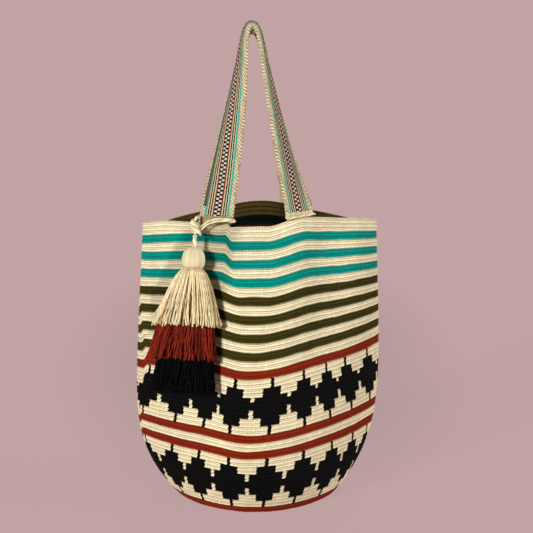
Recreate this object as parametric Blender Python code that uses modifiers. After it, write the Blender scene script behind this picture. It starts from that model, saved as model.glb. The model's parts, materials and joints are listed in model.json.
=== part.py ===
"""Crocheted tote bag with two woven straps and a hanging three-tier tassel.

Frame: origin at the centre of the flat base's underside, +Z up, the tassel side facing -Y.
Lengths are in metres and angles in degrees unless a name says otherwise.
"""

import math

import bmesh
import bpy
import numpy as np
from mathutils import Matrix, Vector

# Crocheted body: half widths run along X, front and back depths along -Y and +Y
WALL_HEIGHT = 0.3168
BASE_HALF_WIDTH = 0.0885
BASE_FRONT = 0.103
BASE_BACK = 0.095
BELLY_HALF_WIDTH = 0.1332
BELLY_FRONT = 0.140
BELLY_BACK = 0.114
RIM_HALF_WIDTH = 0.1275
RIM_FRONT = 0.081
RIM_BACK = 0.072
WALL = 0.004
RIM_CROWN = 0.0012
RIM_SEAT = 0.0013
RIDGE = 0.0010
FLOOR_RINGS = (0.0, 0.36, 0.72)
INNER_RINGS = (1.0, 0.86, 0.70, 0.52, 0.34, 0.18, 0.07)
INNER_FLOOR_RINGS = (0.95, 0.5, 0.0)

# How the soft body slumps
BELLY_SHARE = 0.466
LOWER_EASE = 3.2
UPPER_EASE = 0.15
ROUND_EASE = 1.055
BASE_SKEW = 0.013
RIM_SKEW = 0.225
BASE_SHIFT = -0.0022
RIM_SHIFT = 0.0033
SOFT_FOLD = 0.35
SOFT_SIDE = 0.06
SIDE_WALL = 1.5
LEFT_POWER = ((0.0, 2.0), (0.54, 1.25), (1.0, 1.88))
RIGHT_POWER = ((0.0, 2.0), (0.54, 1.74), (1.0, 1.32))
FRONT_ROUNDNESS = ((0.0, 0.68), (0.3, 0.893), (1.0, 0.893))
BACK_ROUNDNESS = 0.72
LEFT_DROP = ((0.0, 0.0), (0.33, 0.0070), (0.54, 0.0127), (0.76, 0.0117), (1.0, 0.0140))
RIGHT_DROP = ((0.0, 0.0), (0.33, -0.0081), (0.54, -0.0073), (0.76, 0.0041), (1.0, 0.0184))
LEFT_DROP_POWER = 2.2
RIGHT_DROP_POWER = 1.35
MIDDLE_SAG = ((0.0, 0.0), (0.33, 0.0052), (0.54, 0.0062), (0.76, 0.0089), (1.0, 0.0121))

# The front's middle hangs lower between two slopes: (share of the height, start and end of the slope along X)
SAG_FALL = ((0.0, -0.066, -0.006), (0.54, -0.060, -0.010), (0.78, -0.050, -0.018), (1.0, -0.037, -0.027))
SAG_RISE = ((0.0, -0.035, 0.082), (0.33, -0.035, 0.082), (0.78, 0.011, 0.062), (1.0, 0.011, 0.048))

# The tassel's cord pulls the rim down beside the left strap
RIM_PULL = 0.0058
PULL_FALL = (-0.112, -0.048)
PULL_RISE = (-0.037, -0.026)
PULL_SHARE = 0.945

# Crochet: stitches in a round, and the rounds from rim to base as (colour, rounds)
STITCHES = 180
REPEAT = 10
PATTERN_PHASE = 3.3
PATTERN_LEAN = 0.031
PATTERN_LEAN_ROUND = 39.5
BAND = (("point", 2), ("half", 2), ("tip", 1), ("black", 2), ("tip", 2), ("half", 2), ("point", 2))
LOWER_BAND = (("point", 2), ("half", 2), ("tip", 2), ("black", 2), ("tip", 2), ("half", 2), ("point", 2))
ROUNDS = (
    (("cream", 3),)
    + (("teal", 2), ("cream", 2)) * 3
    + (("olive", 2), ("cream", 2)) * 4
    + (("rust", 2),) + BAND
    + (("rust", 2), ("cream", 2), ("rust", 2)) + LOWER_BAND
    + (("rust", 2),)
)
# Column edges within one repeat, in stitches from a black point's middle
COLUMN_EDGES = (-2.5, 2.5, 4.5, 5.5)
BLACK_COLUMNS = {"point": (), "half": (0,), "tip": (0, 1, 3), "black": (0, 1, 2, 3)}

# Woven straps
STRAP_WIDTH = 0.0367
STRAP_THICKNESS = 0.003
STRAP_TOP_X = -0.0062
STRAP_STATIONS = 26
STATION_EASE = 1.1
STRAP_FIELDS = (
    ("cream", 0.0040), ("teal", 0.0026), ("olive", 0.0084), ("black", 0.0068),
    ("olive", 0.0070), ("teal", 0.0022), ("cream", 0.0057),
)
FRONT_STRAP = {
    "side": -1, "left_x": -0.0445, "right_x": 0.0460, "top": 0.5190, "top_y": -0.0205,
    "half_gap": 0.0045, "left_bow": 1.0, "right_bow": 1.2, "left_twist": 1.7, "right_twist": 1.2,
}
BACK_STRAP = {
    "side": 1, "left_x": -0.0520, "right_x": 0.0480, "top": 0.5155, "top_y": 0.0205,
    "half_gap": 0.0075, "left_bow": 1.0, "right_bow": 1.0, "left_twist": 1.0, "right_twist": 1.0,
}
ARCH_SHARPNESS = 25
STRAP_SETTLE = 0.15
RIM_STEP = 0.004
RUN_STEP = 0.01

# Yarn bindings round the strap ends
BINDING_HEIGHT = 0.0095
BINDING_SKIN = 0.0016
BINDING_EASE = 0.0006
BINDING_POINTS = 16
BINDING_SQUARENESS = 0.38
BINDING_LEVELS = (0.0, 0.5, 0.92)

# Tassel and its cord
CORD = 0.0034
CORD_PITCH = 0.0039
CORD_SPACING = 2.2
LOOP_START = 0.0016
LOOP_TURNS = 2
# The cord's way round a strap end: (share of its half width, share of its half thickness)
LOOP_RING = (
    (-0.86, 1.05), (-0.3, 1.0), (0.3, 1.0), (0.86, 1.05), (1.06, 0.0),
    (0.86, -1.05), (0.0, -1.0), (-0.86, -1.05), (-1.06, 0.0),
)
LOOP_LEAVES = ((-1.32, 0.9, 1.0), (-1.42, 1.7, -0.5))
TASSEL_GAP = 0.0013
TASSEL_X = -0.0660
TASSEL_TURN = 26.0
TASSEL_LEAN = 12.0
TASSEL_TILT = 2.0
TASSEL_BACK = 0.0100
TASSEL_SWEEP = 0.22
SETTLE_STEPS = 4
WALL_TO_TASSEL = (-180.0, -56.0)
LOWEST_TOUCH = 0.3
KNOT_DROP = 0.0083
KNOT_SEAT = 0.0012
HANGER_LENGTH = 0.0135
HANGER_TAPER = 0.0030
HANGER_TIP = 0.1
KNOT_SIZE = (0.0105, 0.0085, 0.0105)
HEAD_RADIUS = 0.0130
HEAD_HEIGHT = 0.0235
HEAD_TURN = 150.0
HEAD_STEPS = 8
HEAD_FULLNESS = 0.8
NECK_RADIUS = 0.0098
NECK_HEIGHT = 0.0030
TIERS = (
    ("cream", 0.0590, 0.0105, 0.0105, 0.0410, 0.0280),
    ("rust", 0.0330, 0.0300, 0.0200, 0.0390, 0.0265),
    ("black", 0.0370, 0.0300, 0.0200, 0.0350, 0.0240),
)
# Down a skirt: (share of its length, share of its full width)
TIER_PROFILE = ((0.0, 0.0), (0.0, 1.0), (0.25, 1.0), (0.55, 1.0), (0.85, 1.0), (1.0, 0.97), (1.0, 0.0))
TIER_FLARE = 0.85
TIER_SIDES = 36
TURNED_SIDES = 20
TIER_LOBES = 12
TIER_LOBE_DEPTH = 0.0007
GAP = 0.0003

COLOURS = {
    "cream": (0.72, 0.60, 0.42), "teal": (0.0, 0.33, 0.28), "olive": (0.065, 0.07, 0.018),
    "rust": (0.27, 0.035, 0.018), "black": (0.010, 0.010, 0.012),
}


def smooth_through(place, points):
    """Read a curve that passes through the (place, size) points without overshooting them."""
    places, sizes = np.array(points, float).T
    slopes = np.diff(sizes) / np.diff(places)
    tangents = np.concatenate([[slopes[0]], np.zeros(len(slopes) - 1), [slopes[-1]]])
    for i in range(1, len(slopes)):
        if slopes[i - 1] * slopes[i] > 0:
            tangents[i] = 2 * slopes[i - 1] * slopes[i] / (slopes[i - 1] + slopes[i])
    place = np.asarray(place, float)
    i = np.clip(np.searchsorted(places, place, side="right") - 1, 0, len(slopes) - 1)
    span = places[i + 1] - places[i]
    t = (place - places[i]) / span
    return (
        sizes[i] * (1 + 2 * t) * (1 - t) ** 2
        + sizes[i + 1] * t ** 2 * (3 - 2 * t)
        + span * (tangents[i] * t * (1 - t) ** 2 - tangents[i + 1] * t ** 2 * (1 - t))
    )


def ramp(value, start, end):
    """Rise smoothly from 0 at start to 1 at end."""
    t = np.clip((value - start) / (end - start), 0, 1)
    return t * t * (3 - 2 * t)


def slope(x, share, places):
    """Rise from 0 to 1 along X, between two places that move with the share of the height."""
    shares, starts, ends = zip(*places)
    start = smooth_through(share, tuple(zip(shares, starts)))
    end = smooth_through(share, tuple(zip(shares, ends)))
    return ramp(x, start, end)


def by_level(level, base, belly, rim):
    """Size at a level of the wall: it swells to the belly and draws in to the rim."""
    lower = 1 - (1 - np.clip(level / BELLY_SHARE, 0, 1)) ** LOWER_EASE
    rise = np.clip((level - BELLY_SHARE) / (1 - BELLY_SHARE), 0, 1)
    upper = rise * rise * (1 + UPPER_EASE) / (rise + UPPER_EASE)
    return base + (belly - base) * lower + (rim - belly) * upper


def softened(reach, power):
    """Share of the way out to the side, to a power, with the crease at the middle rounded off."""
    low = SOFT_FOLD ** power
    return ((reach ** 2 + SOFT_FOLD ** 2) ** (power / 2) - low) / ((1 + SOFT_FOLD ** 2) ** (power / 2) - low)


def rounded(depth, power):
    """Depth share to a power, with the fold where the front meets the back rounded off."""
    depth = np.clip(depth, 0, 1)
    return depth ** 0.5 * ((depth + SOFT_SIDE) / (1 + SOFT_SIDE)) ** (power - 0.5)


def wall_points(angle, share, inset=0.0, proud=0.0):
    """Points of the body's outer face, or of a face inset from it.

    angle is in radians, anticlockwise from +X; share runs from the base's edge, 0, to the rim, 1.
    """
    angle = np.asarray(angle, float)
    share = np.asarray(share, float) + 0 * angle
    level = share ** ROUND_EASE
    half_width = by_level(level, BASE_HALF_WIDTH, BELLY_HALF_WIDTH, RIM_HALF_WIDTH) - inset * SIDE_WALL + proud
    front = by_level(level, BASE_FRONT, BELLY_FRONT, RIM_FRONT) - inset + proud
    back = by_level(level, BASE_BACK, BELLY_BACK, RIM_BACK) - inset + proud
    across, along = np.cos(angle), np.sin(angle)
    power = np.where(across < 0, smooth_through(share, LEFT_POWER), smooth_through(share, RIGHT_POWER))
    fullness = rounded(1 - softened(np.abs(across), power), smooth_through(share, FRONT_ROUNDNESS))
    back_fullness = rounded(1 - across ** 2, BACK_ROUNDNESS)
    x = half_width * across
    y = np.where(along < 0, -front * fullness, back * back_fullness)
    y = y + (BASE_SKEW + (RIM_SKEW - BASE_SKEW) * level) * x
    x = x + BASE_SHIFT + (RIM_SHIFT - BASE_SHIFT) * level
    sag = slope(x, share, SAG_FALL) * (1 - slope(x, share, SAG_RISE)) * smooth_through(share, MIDDLE_SAG)
    pull = ramp(x, *PULL_FALL) * (1 - ramp(x, *PULL_RISE)) * ramp(share, PULL_SHARE, 1) * RIM_PULL
    z = WALL_HEIGHT * level - np.where(along < 0, sag + pull, 0)
    z = z - np.clip(across, 0, 1) ** RIGHT_DROP_POWER * smooth_through(share, RIGHT_DROP)
    z = z - np.clip(-across, 0, 1) ** LEFT_DROP_POWER * smooth_through(share, LEFT_DROP)
    return np.stack([x, y, z], -1)


def round_points(stitch, share, inset=0.0, proud=0.0):
    """Points of one round at even arc lengths; stitches count from the front's middle to the right."""
    angles = np.linspace(-math.pi / 2, 1.5 * math.pi, 1441)
    dense = wall_points(angles, share)
    arc = np.concatenate([[0], np.cumsum(np.linalg.norm(np.diff(dense, axis=0), axis=1))])
    at = (np.asarray(stitch, float) / STITCHES) % 1.0 * arc[-1]
    return wall_points(np.interp(at, arc, angles), share, inset, proud)


def rim_point(x, side):
    """Middle of the rim's thickness at a place across the bag; side is -1 at the front, 1 at the back."""
    across = np.clip((x - RIM_SHIFT) / RIM_HALF_WIDTH, -1, 1)
    angle = side * math.acos(across)
    return Vector(wall_points(angle, 1.0, inset=WALL / 2))


def rim_direction(x, side):
    """Level direction along the rim, towards +X."""
    along = rim_point(x + RIM_STEP, side) - rim_point(x - RIM_STEP, side)
    along.z = 0
    return along.normalized()


def make_material(name):
    material = bpy.data.materials.get("yarn_" + name)
    if material:
        return material
    material = bpy.data.materials.new("yarn_" + name)
    material.use_nodes = True
    shader = material.node_tree.nodes["Principled BSDF"]
    shader.inputs["Base Color"].default_value = (*COLOURS[name], 1)
    shader.inputs["Roughness"].default_value = 0.9
    shader.inputs["Metallic"].default_value = 0
    material.diffuse_color = (*COLOURS[name], 1)
    return material


def add_object(name, mesh, collection, colours):
    obj = bpy.data.objects.new(name, mesh)
    collection.objects.link(obj)
    for colour in colours:
        mesh.materials.append(make_material(colour))
    return obj


def lofted_grid(name, columns, rows, place, paint=None, open_sheet=False):
    """Bend a grid so that vertex (column, row) lies at place(column, row), and close what meets.

    paint gives the material number of the face that starts at a column and a row.
    """
    bm = bmesh.new()
    bmesh.ops.create_grid(bm, x_segments=columns, y_segments=rows, size=0.5)
    if paint:
        for face in bm.faces:
            middle = face.calc_center_median()
            column = int((middle.x + 0.5) * columns)
            row = int((middle.y + 0.5) * rows)
            face.material_index = paint(column, row)
    for vertex in bm.verts:
        column = round((vertex.co.x + 0.5) * columns)
        row = round((vertex.co.y + 0.5) * rows)
        vertex.co = place(column, row)
    if not open_sheet:
        bmesh.ops.remove_doubles(bm, verts=bm.verts, dist=1e-6)
    bmesh.ops.recalc_face_normals(bm, faces=bm.faces)
    mesh = bpy.data.meshes.new(name)
    bm.to_mesh(mesh)
    bm.free()
    mesh.shade_smooth()
    return mesh


def body_columns():
    """Stitch numbers of the body's column lines, and the place of each column in its repeat."""
    starts = []
    for repeat in range(STITCHES // REPEAT):
        starts += [PATTERN_PHASE + repeat * REPEAT + edge for edge in COLUMN_EDGES]
    return starts + [starts[0] + STITCHES]


def body_rounds():
    """Colour rule of every round, from the base's edge up to the rim."""
    rules = []
    for rule, count in ROUNDS:
        rules += [rule] * round(count)
    return rules[::-1]


def round_crests(rules):
    """How far each round line stands proud: crests lie inside a stripe and valleys between stripes."""
    crests = [0.0]
    for lower, upper in zip(rules, rules[1:]):
        crests.append(RIDGE if lower == upper else 0.0)
    return crests + [0.0]


def make_body(collection):
    colours = ["cream", "teal", "olive", "rust", "black"]
    columns = body_columns()
    rules = body_rounds()
    crests = round_crests(rules)
    rounds = len(rules)
    rings = []

    def lean(count):
        return PATTERN_LEAN * (count - PATTERN_LEAN_ROUND)

    def stitches(count):
        return np.array(columns) + lean(count)

    edge = round_points(stitches(0), 0.0)
    for share in FLOOR_RINGS:
        rings.append(edge * np.array([share, share, 0]))
    for count in range(rounds + 1):
        rings.append(round_points(stitches(count), count / rounds, proud=crests[count]))
    crown = round_points(stitches(rounds), 1.0, inset=WALL / 2)
    rings.append(crown + np.array([0, 0, RIM_CROWN]))
    for share in INNER_RINGS:
        rings.append(round_points(stitches(share * rounds), share, inset=WALL))
    inner_floor = round_points(stitches(0), 0.0, inset=WALL)
    for share in INNER_FLOOR_RINGS:
        rings.append(inner_floor * np.array([share, share, 0]) + np.array([0, 0, WALL]))

    def paint(column, row):
        rule = rules[row - len(FLOOR_RINGS)] if 0 <= row - len(FLOOR_RINGS) < rounds else "cream"
        if rule in BLACK_COLUMNS:
            rule = "black" if column % len(COLUMN_EDGES) in BLACK_COLUMNS[rule] else "cream"
        return colours.index(rule)

    mesh = lofted_grid("bag_body", len(columns) - 1, len(rings) - 1, lambda c, r: rings[r][c], paint)
    return add_object("bag_body", mesh, collection, colours)


def strap_centre(strap, run):
    """Middle of the strap: run goes from -1 at the left end, over 0 at the top, to 1 at the right end."""
    left = run < 0
    base = rim_point(strap["left_x"] if left else strap["right_x"], strap["side"])
    fall = run * run
    spread = abs(base.x - STRAP_TOP_X) - strap["half_gap"]
    bow = strap["left_bow"] if left else strap["right_bow"]
    arch = strap["half_gap"] * math.sqrt(1 - (1 - fall) ** ARCH_SHARPNESS)
    x = STRAP_TOP_X + math.copysign(spread * fall ** bow + arch, run)
    y = strap["top_y"] + (base.y - strap["top_y"]) * fall
    start = base.z + RIM_CROWN + RIM_SEAT
    return Vector((x, y, strap["top"] + (start - strap["top"]) * fall))


def strap_across(strap, run):
    """Unit vector across the strap, from its outer edge to its inner edge."""
    left = run < 0
    along = rim_direction(strap["left_x"] if left else strap["right_x"], strap["side"])
    inward = along if left else -along
    foot = math.atan2(inward.y * strap["side"], abs(inward.x))
    height = 1 - run * run
    turn = foot + (math.pi / 2 - foot) * height ** (strap["left_twist"] if left else strap["right_twist"])
    across = Vector((math.cos(turn) * (1 if left else -1), math.sin(turn) * strap["side"], 0))
    ahead, behind = min(run + RUN_STEP, 1), max(run - RUN_STEP, -1)
    tangent = (strap_centre(strap, ahead) - strap_centre(strap, behind)).normalized()
    blend = min(1, height / STRAP_SETTLE)
    return (across - tangent * across.dot(tangent) * blend).normalized()


def binding_run(strap, end, rise):
    """Run at which the strap leaves a share of the binding's height, at its left or right end."""
    start = strap_centre(strap, end).z
    return end * math.sqrt(1 - BINDING_HEIGHT * rise / (strap["top"] - start))


def strap_runs(strap):
    """Stations along a strap: its ends, where it leaves its bindings, and closer ones over the top."""
    even = np.linspace(-1, 1, STRAP_STATIONS - 1)
    inner = np.sign(even) * np.abs(even) ** STATION_EASE
    inner *= np.where(inner < 0, -binding_run(strap, -1, 1), binding_run(strap, 1, 1))
    return np.concatenate([[-1], inner, [1]])


def strap_point(strap, run, across_share):
    """Point at a share of the width, from -0.5 at the outer edge to 0.5 at the inner edge."""
    offset = across_share * STRAP_WIDTH
    point = strap_centre(strap, run) + strap_across(strap, run) * offset
    if abs(run) == 1:
        foot = rim_point(point.x, strap["side"])
        point.z = foot.z + RIM_CROWN + RIM_SEAT
    return point


def make_strap(name, strap, collection):
    runs = strap_runs(strap)
    colours = ["cream", "teal", "olive", "black"]
    widths = np.array([width for colour, width in STRAP_FIELDS])
    edges = np.concatenate([[0], np.cumsum(widths)]) / widths.sum() - 0.5
    mesh = lofted_grid(
        name, len(runs) - 1, len(edges) - 1,
        lambda c, r: strap_point(strap, float(runs[c]), float(edges[r])),
        lambda c, r: colours.index(STRAP_FIELDS[r][0]), open_sheet=True,
    )
    obj = add_object(name, mesh, collection, colours)
    solid = obj.modifiers.new("thickness", "SOLIDIFY")
    solid.thickness = STRAP_THICKNESS
    solid.offset = 0
    return obj


def binding_profile(margin, squareness):
    """Outline round a strap end, as (across, through) pairs; squareness 0 gives sharp corners."""
    half_across = STRAP_WIDTH / 2 + margin
    half_through = STRAP_THICKNESS / 2 + margin
    profile = []
    for i in range(BINDING_POINTS + 1):
        angle = 2 * math.pi * i / BINDING_POINTS
        c, s = math.cos(angle), math.sin(angle)
        if squareness:
            a, t = abs(c) ** squareness, abs(s) ** squareness
        else:
            a, t = abs(c) / max(abs(c), abs(s)), abs(s) / max(abs(c), abs(s))
        profile.append((half_across * math.copysign(a, c), half_through * math.copysign(t, s)))
    return profile


def make_binding(name, strap, end, collection):
    """Sleeve of yarn round a strap end; end is -1 at the left and 1 at the right."""
    top = strap_centre(strap, end).z + BINDING_HEIGHT
    outer = binding_profile(BINDING_SKIN, BINDING_SQUARENESS)
    inner = binding_profile(BINDING_EASE, 0)
    levels = [(outer, rise) for rise in BINDING_LEVELS] + [(inner, 1.0), (inner, 0.0), (outer, 0.0)]

    def place(column, row):
        profile, rise = levels[row]
        a, t = profile[column]
        run = binding_run(strap, end, rise)
        across = strap_across(strap, run)
        through = across.cross(Vector((0, 0, 1))).normalized()
        point = strap_centre(strap, run) + across * a + through * t
        bottom = rim_point(point.x, strap["side"]).z + RIM_CROWN + GAP * 2
        point.z = bottom + (top - bottom) * rise
        return point

    mesh = lofted_grid(name, BINDING_POINTS, len(levels) - 1, place)
    return add_object(name, mesh, collection, ["cream"])


def tube(name, points, collection, colour, tip=1.0):
    """Round cord along the points, drawn in at its last point to a share of its thickness."""
    curve = bpy.data.curves.new(name, "CURVE")
    curve.dimensions = "3D"
    curve.bevel_depth = CORD / 2
    curve.bevel_resolution = 2
    curve.use_fill_caps = True
    line = curve.splines.new("POLY")
    line.points.add(len(points) - 1)
    for target, point in zip(line.points, points):
        target.co = (*point, 1)
    line.points[-1].radius = tip
    curve.materials.append(make_material(colour))
    obj = bpy.data.objects.new(name, curve)
    collection.objects.link(obj)
    return obj


def smooth_route(points, spacing):
    """Even points on a smooth curve through the route's own points."""
    points = [Vector(p) for p in points]
    padded = [points[0] * 2 - points[1]] + points + [points[-1] * 2 - points[-2]]
    dense = []
    for a, b, c, d in zip(padded, padded[1:], padded[2:], padded[3:]):
        for i in range(16):
            t = i / 16
            dense.append(0.5 * (2 * b + (c - a) * t + (2 * a - 5 * b + 4 * c - d) * t * t
                                + (3 * b - a - 3 * c + d) * t ** 3))
    dense.append(points[-1])
    dense = np.array(dense)
    arc = np.concatenate([[0], np.cumsum(np.linalg.norm(np.diff(dense, axis=0), axis=1))])
    count = max(2, round(arc[-1] / spacing) + 1)
    at = np.linspace(0, arc[-1], count)
    return [Vector([np.interp(s, arc, dense[:, k]) for k in range(3)]) for s in at]


def tassel_frame():
    """Hanging point of the tassel, and its directions down its length, off the wall, and across.

    The tassel lies against the wall, so its line is parallel to the plane that touches the bulge.
    """
    turn, lean = math.radians(TASSEL_TURN), math.radians(TASSEL_LEAN)
    outward = Vector((-math.sin(turn) * math.cos(lean), -math.cos(turn) * math.cos(lean), math.sin(lean)))
    down = (outward * outward.z - Vector((0, 0, 1))).normalized()
    down = Matrix.Rotation(math.radians(TASSEL_TILT), 3, outward) @ down
    across = down.cross(outward)
    angles = np.radians(np.linspace(*WALL_TO_TASSEL, 120))
    wall = np.concatenate([wall_points(angles, share) for share in np.linspace(LOWEST_TOUCH, 1.0, 60)])
    top = Vector((TASSEL_X, -RIM_FRONT, rim_point(TASSEL_X, -1).z - KNOT_DROP))
    length = HANGER_LENGTH + HEAD_HEIGHT + sum(tier[1] for tier in TIERS)
    for _ in range(SETTLE_STEPS):
        reach = wall - np.array(top)
        fall, aside = reach @ np.array(down), np.abs(reach @ np.array(across))
        under = (fall > 0) & (fall < length) & (aside < TIERS[0][4] + fall * TASSEL_SWEEP)
        clear = float(np.max(reach[under] @ np.array(outward))) + TASSEL_GAP + TASSEL_BACK
        top.y += clear / outward.y
    return top, down, outward, across


def make_tier(name, colour, start, length, sizes, frame, collection):
    """One skirt of cut yarn: an oval bell with a rippled outside, flatter at its back."""
    top, down, outward, across = frame
    top_half, top_depth, low_half, low_depth = sizes

    def place(column, row):
        rise, share = TIER_PROFILE[row]
        angle = 2 * math.pi * column / TIER_SIDES
        spread = math.sin(rise * math.pi / 2) ** TIER_FLARE
        ripple = 1 + TIER_LOBE_DEPTH * rise / low_half * math.cos(TIER_LOBES * angle) * 2
        half = (top_half + (low_half - top_half) * spread) * share * ripple
        depth = (top_depth + (low_depth - top_depth) * spread) * share * ripple
        if math.sin(angle) < 0:
            depth = min(depth, TASSEL_BACK * share)
        return (top + down * (start + length * rise) + across * half * math.cos(angle)
                + outward * depth * math.sin(angle))

    mesh = lofted_grid(name, TIER_SIDES, len(TIER_PROFILE) - 1, place)
    return add_object(name, mesh, collection, [colour])


def make_turned(name, colour, profile, frame, collection):
    """Turned piece about the tassel's own line; the profile is (down, radius) pairs."""
    top, down, outward, across = frame

    def place(column, row):
        along, radius = profile[row]
        angle = 2 * math.pi * column / TURNED_SIDES
        rise = max(radius * math.sin(angle), -TASSEL_BACK)
        return top + down * along + across * radius * math.cos(angle) + outward * rise

    mesh = lofted_grid(name, TURNED_SIDES, len(profile) - 1, place)
    return add_object(name, mesh, collection, [colour])


def make_tassel(collection):
    frame = tassel_frame()
    top, down = frame[:2]
    head_top = HANGER_LENGTH
    hanger = [top + down * along for along in (GAP, head_top / 2, head_top - HANGER_TAPER, head_top - GAP)]
    tube("tassel_hanger", hanger, collection, "cream", HANGER_TIP)
    head = [(head_top, 0)]
    turn = math.radians(HEAD_TURN)
    for i in range(1, HEAD_STEPS + 1):
        angle = turn * i / HEAD_STEPS
        along = HEAD_HEIGHT * (1 - math.cos(angle)) / (1 - math.cos(turn))
        head.append((head_top + along, HEAD_RADIUS * math.sin(angle) ** HEAD_FULLNESS))
    head.append((head_top + HEAD_HEIGHT, 0))
    make_turned("tassel_head", "cream", head, frame, collection)
    neck = head_top + HEAD_HEIGHT + GAP
    profile = [(neck, 0), (neck, NECK_RADIUS * 0.9), (neck + NECK_HEIGHT / 2, NECK_RADIUS),
               (neck + NECK_HEIGHT, NECK_RADIUS * 0.9), (neck + NECK_HEIGHT, 0)]
    make_turned("tassel_neck", "cream", profile, frame, collection)
    start = neck + NECK_HEIGHT + GAP
    for colour, length, *sizes in TIERS:
        make_tier("tassel_%s_skirt" % colour, colour, start, length - GAP, sizes, frame, collection)
        start += length
    return frame


def loop_point(across_share, through_share, rise):
    """Point on the cord's way round the front left binding, at a height over the strap's end."""
    run = binding_run(FRONT_STRAP, -1, max(rise, 0) / BINDING_HEIGHT)
    across = strap_across(FRONT_STRAP, run)
    across = Vector((across.x, across.y, 0)).normalized()
    outward = Vector((across.y, -across.x, 0))
    clear = BINDING_SKIN + CORD / 2 + GAP * 2
    point = strap_centre(FRONT_STRAP, run) + Vector((0, 0, min(rise, 0)))
    point += across * (STRAP_WIDTH / 2 + clear) * across_share
    return point + outward * (STRAP_THICKNESS / 2 + clear) * through_share


def knot_centre(frame):
    """Middle of the knot, set in front of the strap's lower corner so that it bears on the cord there."""
    top, down, outward = frame[:3]
    return top - down * (KNOT_SIZE[2] / 2) - outward * KNOT_SEAT


def make_loop(collection, frame):
    """Cord that goes twice round the front left strap end and down to the knot."""
    route = []
    for turn in range(LOOP_TURNS):
        for i, (across_share, through_share) in enumerate(LOOP_RING):
            rise = LOOP_START + CORD_PITCH * (turn + i / len(LOOP_RING))
            route.append(loop_point(across_share, through_share, rise))
    for across_share, through_share, pitches in LOOP_LEAVES:
        route.append(loop_point(across_share, through_share, LOOP_START + CORD_PITCH * pitches))
    centre = knot_centre(frame)
    away = (route[-1] - centre).normalized()
    route.append(centre + away * (KNOT_SIZE[0] / 2 + GAP * 2))
    tube("tassel_loop", smooth_route(route, CORD * CORD_SPACING), collection, "cream")


def make_knot(collection, frame):
    down, outward, across = frame[1:]
    bm = bmesh.new()
    bmesh.ops.create_uvsphere(bm, u_segments=14, v_segments=9, radius=0.5)
    turn = Matrix((across, outward, -down)).transposed().to_4x4()
    size = Matrix.Diagonal((*KNOT_SIZE, 1))
    bmesh.ops.transform(bm, matrix=Matrix.Translation(knot_centre(frame)) @ turn @ size, verts=bm.verts)
    bmesh.ops.recalc_face_normals(bm, faces=bm.faces)
    mesh = bpy.data.meshes.new("tassel_knot")
    bm.to_mesh(mesh)
    bm.free()
    mesh.shade_smooth()
    add_object("tassel_knot", mesh, collection, ["cream"])


def main():
    for obj in list(bpy.data.objects):
        bpy.data.objects.remove(obj, do_unlink=True)
    collection = bpy.data.collections.new("tote_bag")
    bpy.context.scene.collection.children.link(collection)
    make_body(collection)
    for label, strap in (("front", FRONT_STRAP), ("back", BACK_STRAP)):
        make_strap(label + "_strap", strap, collection)
        make_binding(label + "_left_binding", strap, -1, collection)
        make_binding(label + "_right_binding", strap, 1, collection)
    frame = make_tassel(collection)
    make_knot(collection, frame)
    make_loop(collection, frame)


main()
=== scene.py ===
"""Looks of a crocheted tote bag with woven straps and a three-tier tassel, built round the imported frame."""

import json
import math

import bmesh
import bpy
import numpy as np
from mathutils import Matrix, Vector


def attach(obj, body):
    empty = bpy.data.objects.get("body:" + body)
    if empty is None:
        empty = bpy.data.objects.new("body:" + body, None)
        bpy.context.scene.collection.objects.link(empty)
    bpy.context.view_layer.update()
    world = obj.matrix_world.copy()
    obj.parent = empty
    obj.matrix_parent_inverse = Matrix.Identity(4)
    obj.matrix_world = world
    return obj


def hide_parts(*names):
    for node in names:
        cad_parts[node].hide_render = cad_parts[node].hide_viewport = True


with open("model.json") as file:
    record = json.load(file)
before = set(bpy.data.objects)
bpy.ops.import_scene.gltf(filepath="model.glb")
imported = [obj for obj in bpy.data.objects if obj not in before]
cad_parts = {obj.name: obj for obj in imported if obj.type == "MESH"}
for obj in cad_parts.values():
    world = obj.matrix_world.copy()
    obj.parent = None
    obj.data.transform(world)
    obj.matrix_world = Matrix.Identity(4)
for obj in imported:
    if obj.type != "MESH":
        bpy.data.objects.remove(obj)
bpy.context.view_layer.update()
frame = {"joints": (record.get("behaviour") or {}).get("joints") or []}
rng = np.random.default_rng(11)

# Body: half widths run along X, front and back depths along -Y and +Y, as in the solid
WALL_HEIGHT = 0.3168
BASE_SIZE = (0.0885, 0.103, 0.095)
BELLY_SIZE = (0.1332, 0.14, 0.114)
RIM_SIZE = (0.1275, 0.081, 0.072)
WALL = 0.004
RIM_CROWN = 0.0012
RIM_SEAT = 0.0013
BELLY_SHARE = 0.466
LOWER_EASE = 3.2
UPPER_EASE = 0.15
ROUND_EASE = 1.055
BASE_SKEW = 0.013
RIM_SKEW = 0.225
BASE_SHIFT = -0.0022
RIM_SHIFT = 0.0033
SOFT_FOLD = 0.35
SOFT_SIDE = 0.06
SIDE_WALL = 1.5
LEFT_POWER = ((0.0, 2.0), (0.54, 1.25), (1.0, 1.88))
RIGHT_POWER = ((0.0, 2.0), (0.54, 1.74), (1.0, 1.32))
FRONT_ROUNDNESS = ((0.0, 0.68), (0.3, 0.893), (1.0, 0.893))
BACK_ROUNDNESS = 0.72
LEFT_DROP = ((0.0, 0.0), (0.33, 0.007), (0.54, 0.0127), (0.76, 0.0117), (1.0, 0.014))
RIGHT_DROP = ((0.0, 0.0), (0.33, -0.0081), (0.54, -0.0073), (0.76, 0.0041), (1.0, 0.0184))
LEFT_DROP_POWER = 2.2
RIGHT_DROP_POWER = 1.35
MIDDLE_SAG = ((0.0, 0.0), (0.33, 0.0052), (0.54, 0.0062), (0.76, 0.0089), (1.0, 0.0121))
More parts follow.
